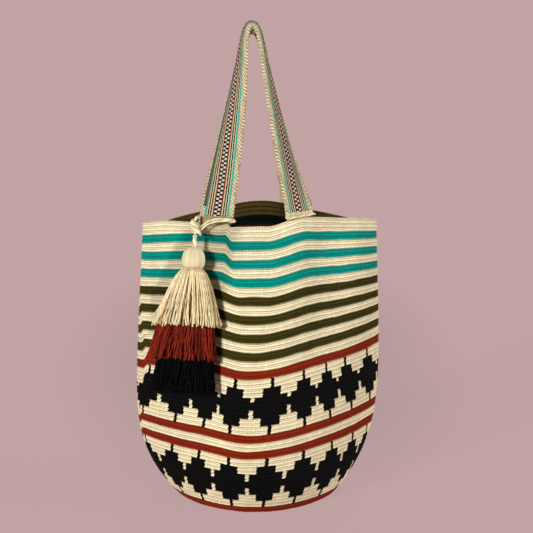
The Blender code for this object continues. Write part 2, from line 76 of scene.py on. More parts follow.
SAG_FALL = (
    (0, -0.066, -0.006), (0.54, -0.06, -0.01), (0.76, -0.05, -0.016), (0.82, -0.044, -0.0195),
    (0.88, -0.036, -0.0255), (1.0, -0.0338, -0.0272),
)
GENTLE_SHARE = 0.27
GENTLE_START = (0.76, 0.86)
GENTLE_FALL = (-0.066, -0.034)
SAG_RISE = ((0.0, -0.035, 0.082), (0.33, -0.035, 0.082), (0.78, 0.009, 0.063), (1.0, 0.009, 0.051))
RIM_PULL = 0.0058
PULL_FALL = (-0.112, -0.048)
PULL_RISE = (-0.037, -0.026)
PULL_SHARE = 0.945

# Pleat behind the tassel and soft waves of the front, as depths behind the plain wall
PLEAT_DEPTH = 0.0095
PLEAT_START = (-0.1, -0.058)
MIDDLE_SWELL = 0.0038
MIDDLE_SWELL_END = (0.004, 0.056)
# Size, place and width
SIDE_SWELL = (0.0098, 0.114, 0.026)
SIDE_DIP = (0.0045, 0.064, 0.02)
# Painted shade on the front wall in its folds: beside the tassel, and a little in the dip
FOLD_SHADE_HEIGHT = (0.5, 0.68)
FOLD_SHADE_LEFT = (
    (0.69, -0.1203, -0.105), (0.745, -0.1203, -0.1109), (0.8, -0.1109, -0.1014),
    (0.865, -0.1014, -0.092), (0.92, -0.092, -0.0825), (1.0, -0.082, -0.05),
)
FOLD_SHADE_RIGHT = ((0.69, -0.046, -0.033), (0.76, -0.04, -0.027), (0.86, -0.036, -0.022))
DIP_SHADE = 0.3
FOLD_DARKNESS = 0.66
WAVE_FOOT = (0.3, 0.58)
WAVE_TOP = (0.935, 0.988)
WAVE_SETTLE = 0.1625
# The far rim hangs lower than the near one, most of all at its two quarters
BACK_DROP = 0.0042
BACK_QUARTER_DROP = 0.0046
BACK_DROP_START = 0.78
BACK_DROP_RISE = (0.0, 0.5)
QUARTER_RISE = (0.05, 0.5)
QUARTER_FALL = (0.84, 1.0)
WAVE_SIDE = (0.0, 0.25)

# Crochet
STITCHES = 180
REPEAT = 10
PATTERN_PHASE = 3.3
PATTERN_LEAN = 0.031
PATTERN_LEAN_ROUND = 39.5
BAND = (("point", 2), ("half", 2), ("tip", 1), ("black", 2), ("tip", 2), ("half", 2), ("point", 2))
LOWER_BAND = (("point", 2), ("half", 2), ("tip", 2), ("black", 2), ("tip", 2), ("half", 2), ("point", 2))
ROUNDS = (
    (("cream", 3),)
    + (("teal", 2), ("cream", 2)) * 3
    + (("olive", 2), ("cream", 2)) * 4
    + (("rust", 2),) + BAND
    + (("rust", 2), ("cream", 2), ("rust", 2)) + LOWER_BAND
    + (("rust", 2),)
)
COUNT = sum(count for rule, count in ROUNDS)
BLACK_REACH = {"point": 0, "half": 2, "tip": 4, "black": 5}
CELLS = 4
ROWS = (0.0, 0.2, 0.44, 0.64, 0.82)
# Height of the yarn over the wall, in millimetres, at each row of a stitch and across its width
RELIEF = (
    (-0.54, -0.5, -0.48, -0.5),
    (0.1, 0.26, 0.3, 0.26),
    (0.1, 0.22, 0.18, 0.22),
    (-0.4, -0.33, -0.35, -0.33),
    (0.12, 0.26, 0.3, 0.26),
)
RELIEF_BASE = 0.35
MILLIMETRE = 0.001
RELIEF_SPAN = 0.84
STITCH_SLANT = 0.36
# How far the stitches are drawn round the front, by the number of the stitch and the round
DRAWN_STITCHES = (-60, -37, -27, -17, -7, 3, 13, 23, 33, 43, 60)
DRAWN = (
    (5, (0, 3.5, 2.5, 1.0, -0.2, -0.2, -0.7, -2.8, -4.6, -3.5, 0)),
    (13, (0, 5.0, 0.6, -0.2, -0.1, 0.0, -0.9, -2.2, -2.6, -1.5, 0)),
    (25, (0, 3.0, -2.7, -3.0, -0.4, -0.3, -0.1, 1.1, 1.5, 0.6, 0)),
    (34, (0, -0.7, -2.0, -2.6, -1.4, -0.5, 0.5, 2.5, 4.6, 3.2, 0)),
)
SEAM = 140.4
SEAM_WIDTH = 1.3
SEAM_LEAN = 0.25
SEAM_LEAN_ROUND = 36
SPIRAL_CENTRE = 0.76
# Rounds over which the climb sets in at the base, and is lost again at the rim
SPIRAL_START = 6
SPIRAL_END = 8
# Unevenness from stitch to stitch: height of the yarn in millimetres, place in stitches, and round in rounds
LIFT_SPREAD = 0.08
SHIFT_SPREAD = 0.035
ROUND_SPREAD = 0.05
ROUND_WAVES = 24
RIM_RINGS = ((0.12, 0.55), (0.38, 1.15), (0.68, 1.05), (0.92, 0.45))
INNER_RIDGE = 0.0007
SHADED_ROUND = 64
FLOOR_RINGS = 20

# Straps
STRAP_WIDTH = 0.0367
STRAP_THICKNESS = 0.003
STRAP_TOP_X = -0.0062
# The two legs of a strap are -1, the left one, and 1
FRONT_STRAP = {
    "side": -1, "foot": {-1: -0.0462, 1: 0.046}, "top": 0.517, "top_y": -0.0205, "half_gap": 0.0078,
    "bow": {-1: 1.18, 1: 1.15}, "twist": {-1: 1.08, 1: 0.64},
}
BACK_STRAP = {
    "side": 1, "foot": {-1: -0.05, 1: 0.044}, "top": 0.508, "top_y": 0.0205, "half_gap": 0.0075,
    "bow": {-1: 1.0, 1: 1.05}, "twist": {-1: 1.0, 1: 0.4},
}
ARCH_SHARPNESS = 25
STRAP_SETTLE = 0.15
RIM_STEP = 0.004
FOOT_STEP = 0.01
RUN_STEP = 0.01
CHECK_LENGTH = 0.00226
STRAP_SPREAD = 0.985
THREAD_RELIEF = 0.0006
KNOB_LENGTH = 0.0034
BRAID_LENGTH = 0.0038
# How much the right leg cups, against the left one, between the two runs
RIGHT_CUP = ((-0.2, 0.2), (1, 0.7))
CUP_TURN = 1.0
CUP_RISE = (0.03, 0.4)
# Threads of the strap from its outer to its inner edge: finish, relative width, columns
STRAP_THREADS = (
    ("outer_edging", 1.9, 3), ("shaded_edging", 3.0, 3), ("outer_teal", 2.2, 3), ("cream_thread", 1.0, 1),
    ("olive_thread", 1.4, 2), ("cream_thread", 1.1, 1), ("olive_thread", 1.4, 2), ("cream_thread", 1.3, 1),
    ("rust_thread", 1.6, 2), ("check_a", 3.2, 2), ("check_b", 3.2, 2), ("rust_thread", 1.6, 2),
    ("cream_thread", 1.3, 1), ("olive_thread", 1.4, 2), ("cream_thread", 1.1, 1), ("olive_thread", 1.3, 2),
    ("cream_thread", 0.9, 1), ("teal_thread", 2.2, 3), ("edging", 4.4, 6),
)
# How far up from a foot the outer threads keep their lit colours before painted shade darkens them, and how
# far from the top the back strap's inner edging is painted as in shade
LIT_FOOT = 14
DARK_TOP = 18

# Bindings, and the ridge at the foot of the front right one
BINDING_HEIGHT = {"front_left": 0.0075, "front_right": 0.0045, "back_left": 0.0095, "back_right": 0.0095}
BINDING_SIDE_SKIN = -0.0002
BINDING_FACE_SKIN = 0.0013
BINDING_SQUARENESS = 0.38
LINES_ACROSS_BINDING = 9
BINDING_WRAPS = 44
BINDING_EASE = 0.0011
EASE_START = 0.84
STITCH_RIB = 0.13
# Height of the grooves between flat turns of yarn, and of the turns
FLAT_TURNS = (-0.00012, 0.00022)
BINDING_CLEARANCE = 0.0006
# Places of the ridge: out from the strap, above the rim, and at its turned-up end
RIDGE_OUT = 0.0036
RIDGE_RISE = 0.0004
RIDGE_END_RISE = 0.0026
RIDGE_SHARES = (-0.55, -0.49, -0.38, -0.2, 0.0, 0.2, 0.4, 0.49)

# Tassel: colour, length, then half width and depth of the skirt at its top and at its end
TASSEL_TIERS = (
    ("cream", 0.0556, 0.0104, 0.0105, 0.038, 0.028),
    ("rust", 0.0362, 0.027, 0.02, 0.0385, 0.0265),
    ("black", 0.0335, 0.0285, 0.02, 0.035, 0.024),
)
HANGER_LENGTH = 0.0135
HEAD_HEIGHT = 0.0235
NECK_HEIGHT = 0.003
PIECE_GAP = 0.0003
TASSEL_BACK = 0.01
SKIRT_BACK = {"cream": 0.0085, "rust": 0.0058, "black": 0.0046}
TASSEL_LEAN = {"cream": 0.067, "rust": 0.072, "black": 0.026}
HEAD_SIZE = 0.965
NECK_RADIUS = 0.008
# Places down the head, and its radius there
HEAD_PROFILE = (
    (0.0, 0.0), (0.0003, 0.0026), (0.0012, 0.0056), (0.003, 0.0084), (0.0058, 0.0106), (0.0092, 0.0119),
    (0.013, 0.0126), (0.0168, 0.0126), (0.0198, 0.0119), (0.022, 0.0106), (0.0234, 0.0088), (0.0238, 0.0),
)
# Shape of the skirts' widening, the pull of each strand to its clump, and its random lean, curl and length
SKIRT_FLARE = 0.72
CLUMP_STRANDS = 6
CLUMP_PULL = 0.22
LEAN_SPREAD = 0.07
CURL_SPREAD = 0.0009
LENGTH_SPREAD = 0.0012
# Layers of strands of each tier: number, reach out from the middle, and how much shorter they are
TIER_LAYERS = {
    "cream": ((190, 1.0, 0.0), (150, 0.88, 0.0008), (90, 0.7, 0.0015)),
    "rust": ((190, 1.0, 0.0), (130, 0.86, 0.0008), (60, 0.64, 0.0015)),
    "black": ((190, 1.0, 0.0), (150, 0.84, 0.001), (110, 0.6, 0.0015)),
}
STRAND_PLACES = (0, 0.15, 0.9, 1)
STRAND_SIZES = (0.7, 1, 1, 1.15)
STRAND_RADIUS = {"cream": 0.0006, "rust": 0.00054, "black": 0.0006}
UNDER_TIER = {"cream": 0.004, "rust": 0.01, "black": 0.01}

# Colours, as linear red, green and blue; CREAM_DEEP is the painted shade colour of cream yarn between its
# loops, threads and plies
CREAM = (0.945, 0.86, 0.585)
CREAM_DEEP = (0.55, 0.385, 0.18)
TEAL = (0.0, 0.315, 0.255)
OLIVE = (0.053, 0.045, 0.0045)
RUST = (0.265, 0.022, 0.0045)
BLACK = (0.0048, 0.0048, 0.0046)
GROUND = (0.556, 0.381, 0.384)
# Oval of painted shadow on the ground: middle along Y, half width and half length, then its reach and its
# depth
SHADE_MIDDLE = 0.8
SHADE_SIZE = (0.3, 0.95)
SHADE_REACH = (0.15, 1.0)
SHADE_DEPTH = (0.76, 1.0)
FLOOR_GLOW = 0.88

# Camera
CAMERA_PLACE = (0.00935, -2.4, 0.64)
CAMERA_PITCH = 9.2299
PICTURE = 533
FOCAL_PIXELS = 2210.44

camera_data = bpy.data.cameras.new("camera")
camera_data.sensor_width = 36
camera_data.lens = 36 * FOCAL_PIXELS / PICTURE
camera = bpy.data.objects.new("camera", camera_data)
camera.location = CAMERA_PLACE
camera.rotation_euler = (math.radians(90 - CAMERA_PITCH), 0, 0)
bpy.context.scene.collection.objects.link(camera)
bpy.context.scene.camera = camera


# Shape of the wall
def smooth_through(place, points):
    """Read a curve that passes through the (place, size) points without overshooting them."""
    places, sizes = np.array(points, float).T
    slopes = np.diff(sizes) / np.diff(places)
    tangents = np.concatenate([[slopes[0]], np.zeros(len(slopes) - 1), [slopes[-1]]])
    for i in range(1, len(slopes)):
        if slopes[i - 1] * slopes[i] > 0:
            tangents[i] = 2 * slopes[i - 1] * slopes[i] / (slopes[i - 1] + slopes[i])
    place = np.asarray(place, float)
    i = np.clip(np.searchsorted(places, place, side="right") - 1, 0, len(slopes) - 1)
    span = places[i + 1] - places[i]
    t = (place - places[i]) / span
    return (
        sizes[i] * (1 + 2 * t) * (1 - t) ** 2
        + sizes[i + 1] * t ** 2 * (3 - 2 * t)
        + span * (tangents[i] * t * (1 - t) ** 2 - tangents[i + 1] * t ** 2 * (1 - t))
    )


def ramp(value, start, end):
    t = np.clip((value - start) / (end - start), 0, 1)
    return t * t * (3 - 2 * t)


def hump(x, size, place, width):
    return size * np.exp(-((x - place) / width) ** 2)


def slope(x, share, places):
    """Rise from 0 to 1 along X, between two places that move with the share of the height."""
    shares, starts, ends = zip(*places)
    start = smooth_through(share, tuple(zip(shares, starts)))
    end = smooth_through(share, tuple(zip(shares, ends)))
    return ramp(x, start, end)


def by_level(level, index):
    base, belly, rim = BASE_SIZE[index], BELLY_SIZE[index], RIM_SIZE[index]
    lower = 1 - (1 - np.clip(level / BELLY_SHARE, 0, 1)) ** LOWER_EASE
    rise = np.clip((level - BELLY_SHARE) / (1 - BELLY_SHARE), 0, 1)
    upper = rise * rise * (1 + UPPER_EASE) / (rise + UPPER_EASE)
    return base + (belly - base) * lower + (rim - belly) * upper


def softened(reach, power):
    low = SOFT_FOLD ** power
    return ((reach ** 2 + SOFT_FOLD ** 2) ** (power / 2) - low) / ((1 + SOFT_FOLD ** 2) ** (power / 2) - low)


def rounded(depth, power):
    depth = np.clip(depth, 0, 1)
    return depth ** 0.5 * ((depth + SOFT_SIDE) / (1 + SOFT_SIDE)) ** (power - 0.5)


def front_waves(x, share):
    """How far the front lies behind its plain shape: a pleat behind the tassel, and swells beside it."""
    fall = slope(x, share, SAG_FALL)
    pleat = PLEAT_DEPTH * ramp(x, *PLEAT_START) * (1 - fall)
    middle = MIDDLE_SWELL * fall * (1 - ramp(x, *MIDDLE_SWELL_END))
    sides = hump(x, *SIDE_SWELL) - hump(x, *SIDE_DIP)
    return (pleat - middle - sides) * ramp(share, *WAVE_FOOT) * (1 - ramp(share, *WAVE_TOP))


def fold_shade(points, share):
    """How much painted shade darkens the front wall in its folds, from 0 to 1."""
    x = points[:, 0]
    pleat = slope(x, share, FOLD_SHADE_LEFT) * (1 - slope(x, share, FOLD_SHADE_RIGHT))
    dip = hump(x, DIP_SHADE, *SIDE_DIP[1:])
    return (pleat + dip) * ramp(share, *FOLD_SHADE_HEIGHT) * (points[:, 1] < 0)


def wall_points(angle, share, inset=0.0, waves=True):
    """Points of the wall's smooth outer face, or of a face inset from it."""
    angle = np.asarray(angle, float)
    share = np.clip(np.asarray(share, float) + 0 * angle, 0, 1)
    level = share ** ROUND_EASE
    half_width, front, back = (by_level(level, k) - inset * (SIDE_WALL, 1, 1)[k] for k in range(3))
    across, along = np.cos(angle), np.sin(angle)
    power = np.where(across < 0, smooth_through(share, LEFT_POWER), smooth_through(share, RIGHT_POWER))
    fullness = rounded(1 - softened(np.abs(across), power), smooth_through(share, FRONT_ROUNDNESS))
    back_fullness = rounded(1 - across ** 2, BACK_ROUNDNESS)
    x = half_width * across
    y = np.where(along < 0, -front * fullness, back * back_fullness)
    y = y + (BASE_SKEW + (RIM_SKEW - BASE_SKEW) * level) * x
    x = x + BASE_SHIFT + (RIM_SHIFT - BASE_SHIFT) * level
    gentle = GENTLE_SHARE * ramp(share, *GENTLE_START)
    fall = slope(x, share, SAG_FALL) * (1 - gentle) + ramp(x, *GENTLE_FALL) * gentle
    sag = fall * (1 - slope(x, share, SAG_RISE)) * smooth_through(share, MIDDLE_SAG)
    pull = ramp(x, *PULL_FALL) * (1 - ramp(x, *PULL_RISE)) * ramp(share, PULL_SHARE, 1) * RIM_PULL
    z = WALL_HEIGHT * level - np.where(along < 0, sag + pull, 0)
    z = z - np.clip(across, 0, 1) ** RIGHT_DROP_POWER * smooth_through(share, RIGHT_DROP)
    z = z - np.clip(-across, 0, 1) ** LEFT_DROP_POWER * smooth_through(share, LEFT_DROP)
    quarter = ramp(np.abs(across), *QUARTER_RISE) * (1 - ramp(np.abs(across), *QUARTER_FALL))
    drop = BACK_DROP * ramp(along, *BACK_DROP_RISE) + BACK_QUARTER_DROP * quarter
    z = z - np.where(along > 0, drop * ramp(share, BACK_DROP_START, 1), 0)
    if waves:
        behind = front_waves(x, share) * ramp(-along, *WAVE_SIDE)
        y = y + behind
        z = z - behind * WAVE_SETTLE
    return np.stack([x, y, z], -1)


def drawn(stitch, level):
    """How many stitches a place on the front is drawn round from an even spread."""
    levels = [row[0] for row in DRAWN]
    number = (stitch + STITCHES / 2) % STITCHES - STITCHES / 2
    pulls = [smooth_through(np.clip(number, *DRAWN_STITCHES[::10]), tuple(zip(DRAWN_STITCHES, row[1])))
             for row in DRAWN]
    part = np.interp(level, levels, np.arange(len(levels)))
    low = min(int(part), len(levels) - 2)
    return pulls[low] + (pulls[low + 1] - pulls[low]) * (part - low)


def lengths_along(points):
    """Length of a line of points, up to each of them."""
    return np.concatenate([[0], np.cumsum(np.linalg.norm(np.diff(points, axis=0), axis=1))])


def stitch_angles(stitch, share):
    """Angles of stitch numbers round the wall at a share of its height."""
    stitch = stitch - drawn(stitch, share * COUNT)
    angles = np.linspace(-math.pi / 2, 1.5 * math.pi, 1441)
    arc = lengths_along(wall_points(angles, share, waves=False))
    turns = np.floor(stitch / STITCHES)
    at = (stitch / STITCHES - turns) * arc[-1]
    return np.interp(at, arc, angles) + 2 * math.pi * turns


def rim_point(x, side):
    across = np.clip((x - RIM_SHIFT) / RIM_SIZE[0], -1, 1)
    return Vector(wall_points(side * math.acos(across), 1.0, inset=WALL / 2))


# Meshes from bent grids
def link(obj):
    bpy.context.scene.collection.objects.link(obj)
    return obj


def new_mesh(name, bm):
    mesh = bpy.data.meshes.new(name)
    bm.to_mesh(mesh)
    bm.free()
    return mesh


def flat_grid(name, rows, columns, copies=1):
    """Flat grids as one mesh, with the row and the column of each vertex of one grid."""
    bm = bmesh.new()
    bmesh.ops.create_grid(bm, x_segments=columns, y_segments=rows, size=0.5)
    one = new_mesh(name, bm)
    place = np.empty(len(one.vertices) * 3)
    one.vertices.foreach_get("co", place)
    place = place.reshape(-1, 3)
    column = np.rint((place[:, 0] + 0.5) * columns).astype(int)
    row = np.rint((place[:, 1] + 0.5) * rows).astype(int)
    if copies == 1:
        return one, row, column
    bm = bmesh.new()
    for _ in range(copies):
        bm.from_mesh(one)
    bpy.data.meshes.remove(one)
    return new_mesh(name, bm), row, column


def dress(mesh, points, uv, values):
    """Put the vertices of a mesh at points, and give it what the finish reads there."""
    mesh.vertices.foreach_set("co", points.astype(np.float32).ravel())
    corner = np.empty(len(mesh.loops), int)
    mesh.loops.foreach_get("vertex_index", corner)
    layer = mesh.uv_layers.new(name="yarn")
    layer.uv.foreach_set("vector", np.stack(uv, -1)[corner].astype(np.float32).ravel())
    for key, value in values.items():
        attribute = mesh.attributes.new(key, "FLOAT", "POINT")
        attribute.data.foreach_set("value", value.astype(np.float32))
    return corner


def close_up(mesh, distance):
    """Join what meets, face it outward and shade it smooth."""
    bm = bmesh.new()
    bm.from_mesh(mesh)
    bmesh.ops.remove_doubles(bm, verts=bm.verts, dist=distance)
    bmesh.ops.recalc_face_normals(bm, faces=bm.faces)
    bm.to_mesh(mesh)
    bm.free()
    mesh.shade_smooth()


def bent_grid(name, points, materials, uv, values, paint=None):
    """Bend a grid so that its vertices lie at points[row, column], and close what meets.

    paint gives the material number of each (row, column) face. uv and values hold what the finish reads
    at each vertex: uv is a pair of arrays, and values maps a name to an array. A row or a column will do.
    """
    rows, columns = points.shape[:2]
    mesh, row, column = flat_grid(name, rows - 1, columns - 1)

    def read(part):
        return np.broadcast_to(part, (rows, columns))[row, column]

    spots = {key: read(value) for key, value in values.items()}
    corner = dress(mesh, points[row, column], [read(part) for part in uv], spots)
    if paint is not None:
        face_column = column[corner].reshape(-1, 4).min(1)
        face_row = row[corner].reshape(-1, 4).min(1)
        mesh.polygons.foreach_set("material_index", paint[face_row, face_column].astype(np.int32))
    close_up(mesh, 2e-6)
    for material in materials:
        mesh.materials.append(material)
    return link(bpy.data.objects.new(name, mesh))


def surface_normals(points):
    """Outward direction at each point of a closed ring of rows that run up, with columns anticlockwise."""
    ahead = np.roll(points[:, :-1], -1, axis=1) - np.roll(points[:, :-1], 1, axis=1)
    up = np.gradient(points[:, :-1], axis=0)
    normal = np.cross(ahead, up)
    normal /= np.linalg.norm(normal, axis=-1, keepdims=True) + 1e-12
    return np.concatenate([normal, normal[:, :1]], axis=1)


# Finishes
class Finish:
    """A material under construction: short calls that add nodes and give back an output."""

    def __init__(self, name):
        self.material = bpy.data.materials.new(name)
        self.material.use_nodes = True
        self.nodes = self.material.node_tree.nodes
        self.links = self.material.node_tree.links
        self.shader = self.nodes["Principled BSDF"]

    def put(self, socket, value):
        if isinstance(value, bpy.types.NodeSocket):
            self.links.new(value, socket)
        else:
            socket.default_value = value

    def node(self, kind, inputs=(), output=0, **settings):
        node = self.nodes.new(kind)
        for key, value in settings.items():
            setattr(node, key, value)
        for key, value in dict(inputs).items():
            self.put(node.inputs[key], value)
        return node.outputs[output]

    def math(self, operation, a, b=0.0):
        return self.node("ShaderNodeMath", {0: a, 1: b}, operation=operation)

    def add(self, a, b):
        return self.math("ADD", a, b)

    def times(self, first, *others):
        for other in others:
            first = self.math("MULTIPLY", first, other)
        return first

    def wave(self, turns):
        return self.math("SINE", self.times(turns, 2 * math.pi))

    def place(self):
        return self.node("ShaderNodeTexCoord", output="Object")

    def noise(self, scale, detail=3.0, rough=0.5):
        inputs = {"Vector": self.place(), "Scale": scale, "Detail": detail, "Roughness": rough}
        return self.node("ShaderNodeTexNoise", inputs, "Fac")

    def value(self, name):
        return self.node("ShaderNodeAttribute", output="Fac", attribute_name=name)

    def parts(self, vector):
        x = self.node("ShaderNodeSeparateXYZ", {"Vector": vector}, "X")
        return x, x.node.outputs["Y"]

    def uv(self):
        return self.parts(self.node("ShaderNodeUVMap", output="UV", uv_map="yarn"))

    def spread(self, value, low, high, to_low, to_high):
        inputs = {"Value": value, "From Min": low, "From Max": high, "To Min": to_low, "To Max": to_high}
        return self.node("ShaderNodeMapRange", inputs, "Result")

    def scaled(self, colour, factor):
        return self.node("ShaderNodeVectorMath", {0: colour, "Scale": factor}, "Vector", operation="SCALE")

    def shaded(self, colour, deep, depth, factor):
        """Colour that turns to the deep one where depth nears 1, times a factor."""
        mixed = self.node("ShaderNodeMix", {0: depth, 6: (*colour, 1), 7: (*deep, 1)}, 2, data_type="RGBA")
        return self.scaled(mixed, factor)

    def done(self, colour, height, strength, distance, sheen):
        bump = {"Height": height, "Strength": strength, "Distance": distance}
        self.put(self.shader.inputs["Base Color"], colour)
        self.put(self.shader.inputs["Normal"], self.node("ShaderNodeBump", bump, "Normal"))
        self.shader.inputs["Roughness"].default_value = 0.87
        self.shader.inputs["Metallic"].default_value = 0
        self.shader.inputs["Specular IOR Level"].default_value = 0.06
        self.shader.inputs["Sheen Weight"].default_value = sheen
        self.shader.inputs["Sheen Roughness"].default_value = 0.5
        return self.material


def crochet_yarn(name, colour, deep, groove, fibres, sheen=0.02):
    """Cotton yarn worked in stitches: painted shade darkens it between the loops and in the wall's folds;
    plied, and uneven from stitch to stitch.
    """
    f = Finish(name)
    u, v = f.uv()
    pile = f.value("pile")
    fine = f.noise(2200, 2, 0.6)
    # Painted shade: low pile, between the loops, darkens the yarn and turns it to its deep colour
    factor = f.times(
        f.spread(pile, 0.0, 1.0, groove, 1.0),
        f.spread(f.value("tone"), 0, 1, 0.93, 1.06),
        f.spread(fine, 0.25, 0.75, 1 - fibres, 1 + fibres),
        f.spread(f.noise(38), 0.3, 0.7, 0.95, 1.04),
        # Painted shade of the wall's folds
        f.spread(f.value("painted_shade"), 0, 1, 1.0, FOLD_DARKNESS),
    )
    colour_out = f.shaded(colour, deep, f.spread(pile, 0.0, 0.7, 1.0, 0.0), factor)
    # Plies of the two legs of each stitch run in towards each other
    leg = f.math("ABSOLUTE", f.math("SUBTRACT", f.math("FRACT", u), 0.5))
    plies = f.wave(f.math("SUBTRACT", f.times(v, 4.0), f.times(leg, 3.2)))
    return f.done(colour_out, f.add(f.times(plies, 0.18), f.times(fine, 0.5)), 0.45, 0.0004, sheen)


def strand_yarn(name, colour, deep, turn, ply_depth=0.72, sheen=0.02, uneven=0.8, mixed=0.35):
    """Loose plied yarn or cord: two plies wind round each other along the strand."""
    f = Finish(name)
    tone = f.value("tone")
    u, v = f.uv()
    ply = f.add(f.times(f.wave(f.add(f.times(u, 2.0), f.times(v, turn))), 0.5), 0.5)
    fine = f.noise(2600, 2, 0.6)
    # Painted shade darkens the yarn where its plies meet
    factor = f.times(
        f.spread(ply, 0.0, 0.55, ply_depth, 1.0),
        f.spread(tone, 0, 1, uneven, 1.08),
        f.spread(fine, 0.25, 0.75, 0.88, 1.1),
        f.spread(f.noise(70, 2), 0.3, 0.7, 0.94, 1.05),
    )
    amount = f.math("MAXIMUM", f.spread(ply, 0.0, 0.6, 0.7, 0.0), f.spread(tone, 0.0, 0.6, mixed, 0.0))
    colour_out = f.shaded(colour, deep, amount, factor)
    return f.done(colour_out, f.add(ply, f.times(fine, 0.25)), 0.5, 0.0004, sheen)


def woven_thread(name, colour, deep, sheen=0.02, braid=0):
    """Warp thread of the strap: short floats across the picks, or a thicker braid with dark dashes."""
    f = Finish(name)
    u, v = f.uv()
    pile = f.value("pile")
    if braid:
        slant = f.add(f.times(v, 1 / BRAID_LENGTH), f.times(u, braid))
        dash = f.wave(f.add(slant, f.spread(f.noise(420, 2), 0, 1, 0, 0.9)))
        pile = f.times(pile, f.spread(dash, -0.95, 0.0, 0.15, 1.0))
    fine = f.noise(2600, 2, 0.6)
    # Painted shade: low pile, between the picks and the knobs, darkens the thread toward its deep colour
    factor = f.times(
        f.spread(pile, 0, 1, 0.6, 1.05),
        f.spread(f.value("tone"), 0, 1, 0.88, 1.08),
        f.spread(fine, 0.25, 0.75, 0.9, 1.08),
    )
    colour_out = f.shaded(colour, deep, f.spread(pile, 0.0, 0.7, 0.8, 0.0), factor)
    twist = f.wave(f.add(f.times(u, 900.0), f.times(v, 700.0)))
    return f.done(colour_out, f.add(f.times(twist, 0.3), f.times(fine, 0.6)), 0.4, 0.0003, sheen)


def painted(numbers, where, inside, outside):
    """Numbers of two materials of a piece: one where the test holds, the other elsewhere."""
    return np.where(where, numbers[inside], numbers[outside])


# Each yarn: colour, deep colour of the painted shade between its loops, darkness of that shade, fibre
# unevenness, and sheen
yarns = {name: crochet_yarn(name, *rest) for name, *rest in (
    ("cream", CREAM, CREAM_DEEP, 0.6, 0.07),
    ("teal", TEAL, (0.0, 0.16, 0.135), 0.55, 0.12),
    ("olive", OLIVE, (0.018, 0.015, 0.003), 0.5, 0.18),
    ("rust", RUST, (0.1, 0.008, 0.004), 0.55, 0.16),
    ("black", BLACK, (0.0004, 0.0004, 0.0005), 0.4, 0.25, 0.0),
    # Inside yarns: the carried colours of the work's back, darkened with painted shade for the bag's dark
    # inside
    ("shaded_inside_brown", (0.085, 0.055, 0.013), (0.022, 0.013, 0.003), 0.4, 0.2),
    ("shaded_inside_teal", (0.0006, 0.0045, 0.0035), (0.0, 0.001, 0.001), 0.4, 0.2),
    ("shaded_inside_rust", (0.032, 0.008, 0.004), (0.01, 0.003, 0.002), 0.4, 0.2),
)}
PAINT = {name: number for number, name in enumerate(yarns)}
INSIDE = {"cream": "shaded_inside_brown", "teal": "shaded_inside_teal", "olive": "shaded_inside_brown", "rust": "shaded_inside_rust"}


# Crocheted body
RULES = [rule for rule, count in ROUNDS for one in range(count)][::-1]
COLUMNS = STITCHES * CELLS
column_number = np.arange(COLUMNS + 1)
stitch_number = (column_number // CELLS) % STITCHES
STITCH_LINE = PATTERN_PHASE + 0.5 + column_number / CELLS
link_crown = np.abs(np.sin(math.pi * (column_number % CELLS) / CELLS))


def wobble(length, waves, size):
    """Smooth periodic unevenness round the wall."""
    angle = np.linspace(0, 2 * math.pi, length)
    total = np.zeros(length)
    for wave in range(1, waves + 1):
        total += rng.normal() * np.sin(wave * angle + rng.uniform(0, 2 * math.pi)) / math.sqrt(waves)
    return total * size


stitch_tone = rng.random((COUNT + 1, STITCHES))
stitch_lift = rng.normal(0, LIFT_SPREAD, (COUNT + 1, STITCHES))
stitch_shift = rng.normal(0, SHIFT_SPREAD, (COUNT + 1, STITCHES))
round_wobble = np.array([wobble(COLUMNS + 1, ROUND_WAVES, ROUND_SPREAD) for count in range(COUNT + 1)])


def spiral(stitch, count):
    """How many rounds a place stands above its round's start, because the work climbs as it goes round."""
    climb = np.clip(count / SPIRAL_START, 0, 1) * np.clip((COUNT - count) / SPIRAL_END, 0, 1)
    seam = SEAM - SEAM_LEAN * max(0.0, count - SEAM_LEAN_ROUND)
    left = (seam - stitch) % STITCHES
    turn = np.interp(left, [0, STITCHES - SEAM_WIDTH, STITCHES], [0, 1, 0])
    return climb * (turn - SPIRAL_CENTRE)


def leaning(level):
    """Stitch numbers of the columns, which lean a little as the work goes up."""
    return STITCH_LINE + PATTERN_LEAN * (level - PATTERN_LEAN_ROUND)


class Rows:
    """Rows of a closed band: points, what the finish reads, and the paint of the faces up to the next."""

    def __init__(self):
        self.points, self.paints = [], []
        self.values = {"pile": [], "tone": [], "painted_shade": [], "level": []}

    def add(self, points, pile, level, paint, tone=None, painted_shade=0.0):
        points = np.array(points)
        points[-1] = points[0]
        self.points.append(points)
        tone = self.values["tone"][-1] if tone is None else tone
        for series, value in zip(self.values.values(), (pile, tone, painted_shade, level)):
            series.append(value + 0.0 * link_crown)
        self.paints.append(np.full(COLUMNS, PAINT[paint]) if isinstance(paint, str) else paint)

    def close(self):
        for series in (self.points, *self.values.values()):
            series.append(series[0])


def outer_line(level):
    """Stitch numbers and shares of the height along one row of the work."""
    count = min(int(level), COUNT)
    places = leaning(level) + STITCH_SLANT * (level - count - 0.5) + stitch_shift[count, stitch_number]
    share = (level + spiral(places, level) + round_wobble[count]) / COUNT
    return places, np.clip(share, 0, 1)


def face_colours(count):
    """Paint of a round: in a patterned one the black reaches a few stitches out from each repeat's middle."""
    rule = RULES[max(count, 0)]
    relative = (column_number[:-1] // CELLS + 1) % REPEAT
    if rule in BLACK_REACH:
        reach = np.minimum(relative, REPEAT - relative)
        return painted(PAINT, reach <= BLACK_REACH[rule], "black", "cream")
    return np.full(COLUMNS, PAINT[rule])


